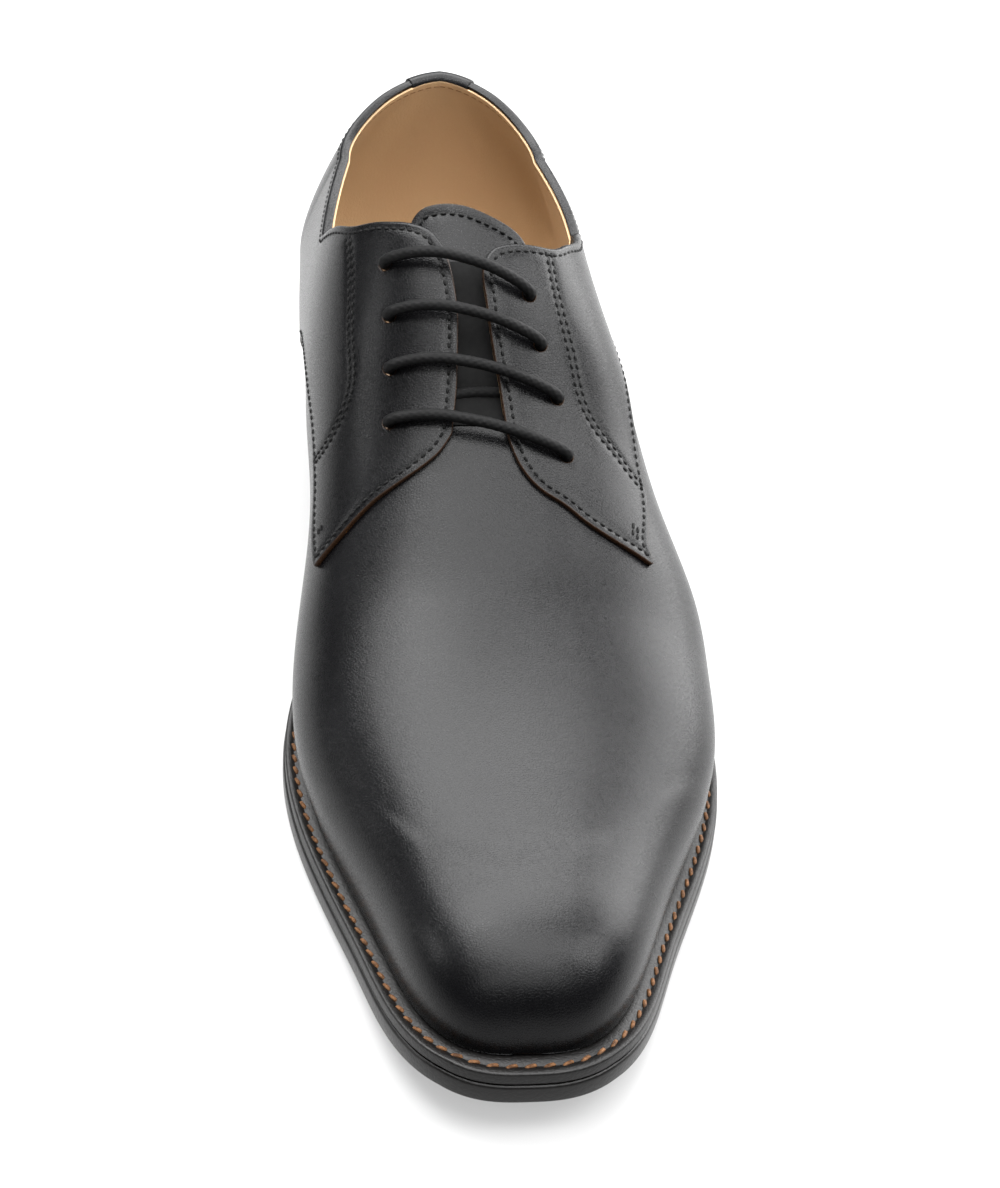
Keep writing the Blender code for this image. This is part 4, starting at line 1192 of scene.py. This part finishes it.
# Sole and welt
def sole_profile(edge_at, low, high, bend):
    """Plan loops and heights up the rounded edge of a sole layer."""
    levels = [(-bend * (1 - math.sin(a)), bend * (1 - math.cos(a)), from_top) for from_top, ends in
              ((False, (0, math.pi / 2)), (True, (math.pi / 2, 0))) for a in np.linspace(*ends, 5)]
    rings = []
    for shift, step, from_top in levels:
        xy = around(lambda at, shift=shift: edge_at(at) + shift)
        at = station_of(xy)
        rings.append((xy, high(at) - step if from_top else low(at) + step))
    return rings


plate("outsole_plate", sole_profile(ledge, floor_z, lambda at: floor_z(at) + OUTSOLE_THICK, 0.0009),
      sole_edge, ("outsole",))


def welt_edge(at):
    return ledge(at) - WELT_INSET


def welt_row_at(at):
    return np.maximum(ledge(at) * 0.52, 0.0012)


def above_sole(step):
    return lambda at: sole_top(at) + step


def level_edge(distance):
    return lambda at: 0 * at + distance


def welt_body():
    """A ring whose top has a shallow channel for the stitches."""
    top = above_sole(WELT_THICK)
    rings = sole_profile(welt_edge, sole_top, top, 0.0006)
    rings = rings[:-1] + [ring(lambda at: welt_edge(at) - 0.0006, top)]
    for shift, drop in ((0.0006, 0.0), (0.0002, 0.00030), (-0.0002, 0.00030), (-0.0006, 0.0)):
        rings.append(ring(lambda at, shift=shift: welt_row_at(at) + shift,
                          lambda at, drop=drop: top(at) - drop))
    rings += [ring(-0.0006, top), ring(-0.0014, top), ring(-0.0014, sole_top)]
    plate("welt_strip", rings, welt_leather, ("welt",), hollow=True)


welt_body()
plate("insole_board", sole_profile(level_edge(-(WALL + 2 * GAP)), sole_top, above_sole(0.0033), 0.0004),
      sock_leather, ("insole",))
plate("sock", sole_profile(level_edge(-0.0013), lambda at: sole_top(at) + WELT_THICK + 0.0003,
                           lambda at: sole_top(at) + INSOLE_THICK + 0.0003, 0.0004),
      sock_leather)


# Heel
def heel_loop(inset, grow=0.0):
    """Plan of the heel: the sole's edge moved in or out, closed by the hollow breast."""
    breast = origin[1] - BREAST_AT * LAST_LENGTH
    half = len(RIM_U)
    loop = around(lambda at: ledge(at) - inset + grow)
    kept = around(ledge)[:, 1] > breast + 0.0006
    lateral, medial = loop[:half][kept[:half]], loop[half:][kept[half:]]
    ends = []
    for line in (lateral[::-1], medial):
        ends.append(line[0] + (line[0] - line[1]) * (line[0, 1] - breast + grow) / (line[1, 1] - line[0, 1]))
    t = np.linspace(0, 1, 41)[:, None]
    front = ends[0] + (ends[1] - ends[0]) * t
    front[:, 1] += BREAST_HOLLOW * (1 - (2 * t[:, 0] - 1) ** 2)
    return np.concatenate([lateral, front, medial])


def heel_body(name, low, high, lines, bend, mat, replaced):
    """Stacked lifts: rounded edges and a fine groove where two lifts meet."""
    rings = []

    def put(z, grow):
        inset = HEEL_TAPER * (1 - np.median(z) / HEEL_HEIGHT)
        xy = heel_loop(inset, grow)
        rings.append((xy, z if np.ndim(z) else np.full(len(xy), z)))
    for a in np.linspace(0, math.pi / 2, 4):
        put(low + bend * (1 - math.cos(a)), -bend * (1 - math.sin(a)))
    for z in lines:
        for step, grow in ((-0.00022, 0.0), (0.0, -0.00016), (0.00022, 0.0)):
            put(z + step, grow)
    top_xy = heel_loop(0.0)
    top_z = high(station_of(top_xy)) if callable(high) else np.full(len(top_xy), high)
    rings.append((top_xy, top_z - (0 if callable(high) else bend)))
    if not callable(high):
        put(high, -bend)
    plate(name, rings, mat, replaced)


heel_body("heel_lifts", TOP_LIFT_THICK + GAP, lambda at: floor_z(at) - GAP, (0.0105, 0.0150),
          0.0003, stack_leather, ("heel_stack",))
heel_body("heel_top_piece", 0.0, TOP_LIFT_THICK, (0.0030,), 0.0005, heel_rubber, ("top_lift",))


# Heel tab, up the back and over the rim
def upright(across):
    """Directions as near to straight up as they can be while square to the given ones."""
    up = np.zeros_like(across)
    up[:, 2] = 1.0
    return unit(up - across * (up * across).sum(1, keepdims=True))


def heel_tab_strip():
    half, thick, r = TAB_WIDTH / 2, TAB_SHEET, EDGE_ROUND
    fine = np.linspace(-0.08, 0.08, 801)
    run = last_point(fine, LATERAL, 0 * fine + 0.55)
    length = run_along(run)
    length -= np.interp(0, fine, length)
    top = top_v(np.abs(fine), LATERAL)
    turn = np.linspace(0, np.pi / 2, 5)
    s_top = np.linspace(-half + r, half - r, 21)
    outline = [(-half + r - r * math.sin(a), thick - r + r * math.cos(a)) for a in turn[::-1]]
    outline += [(s, thick) for s in s_top[1:-1]]
    outline += [(half - r + r * math.sin(a), thick - r + r * math.cos(a)) for a in turn]
    outline += [(half, 0.0)] + [(s, 0.0) for s in s_top[::-1][1:-1]] + [(-half, 0.0)]
    s, t = (np.array(c) for c in zip(*outline))
    loops = []
    drop = np.linspace(TAB_HEIGHT, TAB_TOP, 46)
    for down in drop:
        a = np.interp(s, length, fine)
        v = np.interp(a, fine, top) - down / BACK_RUN * BACK_V
        level = OVERLAY + 0.00005 + t
        ease = 1 - 0.75 * np.clip((down - TAB_HEIGHT + 0.0008) / 0.0008, 0, 1)
        loops.append(hit(np.stack([a, v], -1), level * ease + (1 - ease) * OVERLAY))
    a = np.interp(s, length, fine)
    v_top = np.interp(a, fine, top)
    edge = hit(np.stack([a, v_top - TAB_TOP / BACK_RUN * BACK_V], -1), OVERLAY + 0 * a)
    out = normal(a, LATERAL, v_top - 0.02)
    up = upright(out)
    core = edge - out * (RIM_THICK / 2) + up * 0.0002
    for angle in np.linspace(0.15, np.pi - 0.55, 13):
        reach = RIM_THICK / 2 + 0.00005 + t
        rise = 0.0012 + 0.00005 + t
        loops.append(core + out * (math.cos(angle) * reach)[:, None]
                     + up * (math.sin(angle) * rise)[:, None])
    which, verts = weld(np.array(loops))
    faces = quads(which, wrap_rows=True)
    faces += [which[0, ::-1].tolist(), which[-1].tolist()]
    new_piece("heel_tab_strip", verts, faces, calf, ("heel_tab",), sharp=0.9)


heel_tab_strip()


# Stitching
def rows_on(lines, pitch, level, length=0.72):
    return [stitch_row(line, pitch, level, length) for line in lines]


stitches("quarter_stitches", rows_on(quarter_rows, STITCH_PITCH, OVERLAY - GROOVE * 0.6), STITCH_RADIUS,
         black_thread)
stitches("tongue_stitches", rows_on(tongue_row, STITCH_PITCH, -TONGUE_DROP), STITCH_RADIUS,
         black_thread)
TACKS = (((0.507, 0.446), (0.5165, 0.452)), ((0.507, 0.430), (0.5165, 0.436)),
         ((0.532, 0.586), (0.545, 0.599)), ((0.534, 0.574), (0.547, 0.587)))
tack_rows = [facing_uv(u_at(np.linspace(a[0], b[0], 30)), side, np.linspace(a[1], b[1], 30))
             for (a, b), side in zip(TACKS, (MEDIAL, MEDIAL, LATERAL, LATERAL))]
stitches("bar_tacks", rows_on(tack_rows, 0.0021, OVERLAY, length=1.05), 0.00034, black_thread)
stitches("lining_stitches", rows_on(lining_rows, 0.0024, LINING_LEVEL - LINING_THICK), 0.00022,
         lining_thread)


def welt_rows():
    """Slanted stitches in the channel of the welt, ahead of the waist."""
    line = around(welt_row_at)
    keep = both_at > WELT_ROW_AT
    half = len(RIM_U)
    xy = np.concatenate([line[:half][keep[:half]], line[half:][keep[half:]]])
    z = sole_top(station_of(xy)) + WELT_THICK - 0.00022
    p = np.column_stack([xy, z])
    run = run_along(p)
    where = np.arange(WELT_PITCH / 2, run[-1], WELT_PITCH)
    ahead = unit(sampled(where, run, tangents(p, False)))
    return [(sampled(where, run, p), upright(ahead), ahead, WELT_PITCH * 0.78, 0.30)]


stitches("welt_stitches", welt_rows(), 0.00050, tan_thread)


# Lace: one braided cord from hole to hole
LACE_R = LACE_DIAMETER / 2
LACE_RISES = (0.0030, 0.0026, 0.0018, 0.0010)   # how far each bar bows off the facings
LACE_HIDDEN = -0.0022     # level of the runs behind the facings
BRAID_PITCH = 0.0021


def lace_path():
    place = {"medial": [], "lateral": []}
    for name, here, _ in holes:
        place[name].append((abs(here[0]), here[1] if name == "lateral" else 2 - here[1]))
    top, low = OVERLAY + LACE_R + 0.0001, LACE_HIDDEN
    points = []

    def put(uv, level):
        points.append(hit(np.array([uv]), np.array([level]))[0])

    def through_hole(uv, down):
        levels = (0.0018, 0.0006, -0.0008)
        for level in levels if down else levels[::-1]:
            put(uv, level)

    def bar(a, b, rise):
        a, b = np.array(a), np.array(b)
        for t in np.linspace(0.06, 0.94, 13):
            skew = np.sin(np.pi * t ** (1.25 if b[1] < a[1] else 0.8))
            put(a + (b - a) * t, top + rise * skew + 0.0004)

    def hidden(a, b):
        a, b = np.array(a), np.array(b)
        for t in np.linspace(0.12, 0.88, 7):
            put(a + (b - a) * t, low)
    m, l = place["medial"], place["lateral"]
    put(np.array(m[0]) + np.array([-0.004, -0.05]), low)
    put(m[0], low + 0.0003)
    order = [(m[0], l[0]), (l[1], m[1]), (m[2], l[2]), (m[3], l[3])]
    for k, (a, b) in enumerate(order):
        through_hole(a, False)
        bar(a, b, LACE_RISES[k])
        through_hole(b, True)
        if k < 3:
            hidden(b, order[k + 1][0])
    outer_l = [np.array(x) + np.array([0.0, -0.03]) for x in l]
    put(outer_l[3] + np.array([-0.004, 0.0]), low)
    for t in np.linspace(0.1, 0.95, 10):
        put(outer_l[3] + (outer_l[0] - outer_l[3]) * t, low)
    return np.array(points)


def cord_mesh(name, points, radius, step, mat, replaced):
    """A round cord along a smooth curve, with the ridges of its braid."""
    run = run_along(points)
    curves = [fair(run, points[:, k]) for k in range(3)]
    s = np.arange(0, run[-1], step)
    p = np.stack([c(s) for c in curves], -1)
    t = tangents(p, False)
    frame_n = np.zeros_like(p)
    n = np.cross(t[0], (0.3, 0.2, 1.0))
    for i in range(len(p)):
        n = n - t[i] * (n @ t[i])
        n = n / np.linalg.norm(n)
        frame_n[i] = n
    b = np.cross(t, frame_n)
    around_count = 24
    a = np.arange(around_count) / around_count * 2 * np.pi
    k = 2 * np.pi / BRAID_PITCH
    weave = np.maximum(np.abs(np.sin(3 * a[None] + k * s[:, None] / 2)),
                       np.abs(np.sin(3 * a[None] - k * s[:, None] / 2)))
    r = radius * (0.96 + 0.17 * weave)
    close = np.clip(np.minimum(s, s[-1] - s) / radius, 0, 1)
    r = r * np.sqrt(np.maximum(1 - (1 - close) ** 2, 0.02))[:, None]
    grid = p[:, None] + (frame_n[:, None] * np.cos(a)[None, :, None]
                         + b[:, None] * np.sin(a)[None, :, None]) * r[..., None]
    ids = np.arange(r.size).reshape(r.shape)
    faces = quads(ids, wrap_rows=True)
    faces += [ids[0, ::-1].tolist(), ids[-1].tolist()]
    new_piece(name, grid.reshape(-1, 3), faces, mat, replaced)


cord_mesh("lace", lace_path(), LACE_R, 0.00028, waxed,
          ("lace_bar_1", "lace_bar_2", "lace_bar_3", "lace_bar_4"))


# Floor, light and camera
def floor_piece():
    """A pale floor that glows as painted light, filling the shoe's shadows on it, within a painted pool of
    light that darkens away from the shoe.
    """
    mat, tree, shader = nodes_of("floor_painted_glow")
    place = add(tree, "ShaderNodeTexCoord").outputs["Object"]
    away = add(tree, "ShaderNodeVectorMath", operation="DISTANCE")
    tree.links.new(place, away.inputs[0])
    away.inputs[1].default_value = (0.38, 0.15, 0)
    # Painted pool of light: colour and glow fall off away from the shoe
    tone = ramp(tree, away.outputs["Value"], [(0.50, (1.0,)), (0.95, (0.10,))])
    tree.links.new(blend(tree, tone, (0, 0, 0), (0.20, 0.20, 0.20)), shader.inputs["Base Color"])
    # Painted light: the floor glows, filling the shoe's shadows on it
    tree.links.new(tone, shader.inputs["Emission Color"])
    shader.inputs["Emission Strength"].default_value = 0.45
    shader.inputs["Roughness"].default_value = 0.6
    n = 24
    g = np.linspace(-2.5, 2.5, n)
    x, y = (c.ravel() for c in np.meshgrid(g, g))
    verts = np.column_stack([x, y, 0 * x])
    ids = np.arange(n * n).reshape(n, n)
    mesh = bpy.data.meshes.new("floor")
    mesh.from_pydata(verts.tolist(), [], quads(ids))
    mesh.materials.append(mat)
    obj = bpy.data.objects.new("floor", mesh)
    bpy.context.scene.collection.objects.link(obj)


floor_piece()


def area_light(name, place, target, width, height, power, spread=180):
    data = bpy.data.lights.new(name, "AREA")
    data.shape = "RECTANGLE"
    data.size, data.size_y, data.energy, data.spread = width, height, power, math.radians(spread)
    obj = bpy.data.objects.new(name, data)
    obj.location = place
    obj.rotation_euler = (Vector(target) - Vector(place)).to_track_quat("-Z", "Y").to_euler()
    bpy.context.scene.collection.objects.link(obj)


area_light("back_box", (-0.18, 1.05, 1.55), (0, 0, 0.05), 2.3, 1.35, 106)
area_light("overhead_box", (-0.05, -0.15, 1.60), (0, 0, 0.05), 1.9, 1.15, 56)
area_light("front_box", (0.0, -1.20, 1.45), (0, 0, 0.05), 1.9, 0.7, 16)
area_light("lateral_box", (1.18, 0.95, 0.55), (0, 0, 0.05), 1.3, 1.05, 38)
area_light("lateral_high_box", (1.25, -0.15, 1.25), (0, 0, 0.05), 0.8, 0.8, 22)
area_light("medial_box", (-1.50, 0.22, 0.62), (0, 0, 0.05), 0.50, 0.45, 4.5)
area_light("collar_light", (-0.12, -0.85, 1.70), (0.0, 0.12, 0.08), 0.10, 0.10, 0.015, 10)
bpy.context.scene.view_settings.view_transform = "Standard"
world = bpy.data.worlds.new("studio")
world.use_nodes = True
background = world.node_tree.nodes["Background"].inputs
background["Color"].default_value = (0.9, 0.92, 0.95, 1)
background["Strength"].default_value = 0.10
bpy.context.scene.world = world


FOCAL_PX = 1725.99        # focal length that the photo was taken with, in its pixels
FRAMED_PX = 2986.0        # longer one that frames the one shoe
AIM_PX = (175, 71)        # from the photo's middle to the shoe's
PHOTO_PX, SENSOR = 1188, 36


def camera():
    """The photo's camera; the view is turned a little, as the shoe stands off the picture's middle."""
    pitch, heading = math.radians(37.07), math.radians(0.81)
    place = np.array([-0.07817 - origin[0], -0.58558 - 0.15195 + origin[1], 0.51012])
    ahead = np.array([math.sin(heading) * math.cos(pitch), math.cos(heading) * math.cos(pitch),
                      -math.sin(pitch)])
    right = np.array([math.cos(heading), -math.sin(heading), 0.0])
    up = np.cross(right, ahead)
    aim = ahead + right * (AIM_PX[0] / FOCAL_PX) - up * (AIM_PX[1] / FOCAL_PX)
    turn = Vector(ahead).rotation_difference(Vector(aim).normalized())
    base = Matrix((Vector(right), Vector(up), -Vector(ahead))).transposed()
    data = bpy.data.cameras.new("camera")
    data.lens = FRAMED_PX / PHOTO_PX * SENSOR
    data.sensor_width = SENSOR
    data.sensor_fit = "AUTO"
    data.clip_start = 0.02
    obj = bpy.data.objects.new("camera", data)
    obj.matrix_world = Matrix.Translation(place) @ (turn.to_matrix() @ base).to_4x4()
    bpy.context.scene.collection.objects.link(obj)
    bpy.context.scene.camera = obj


camera()
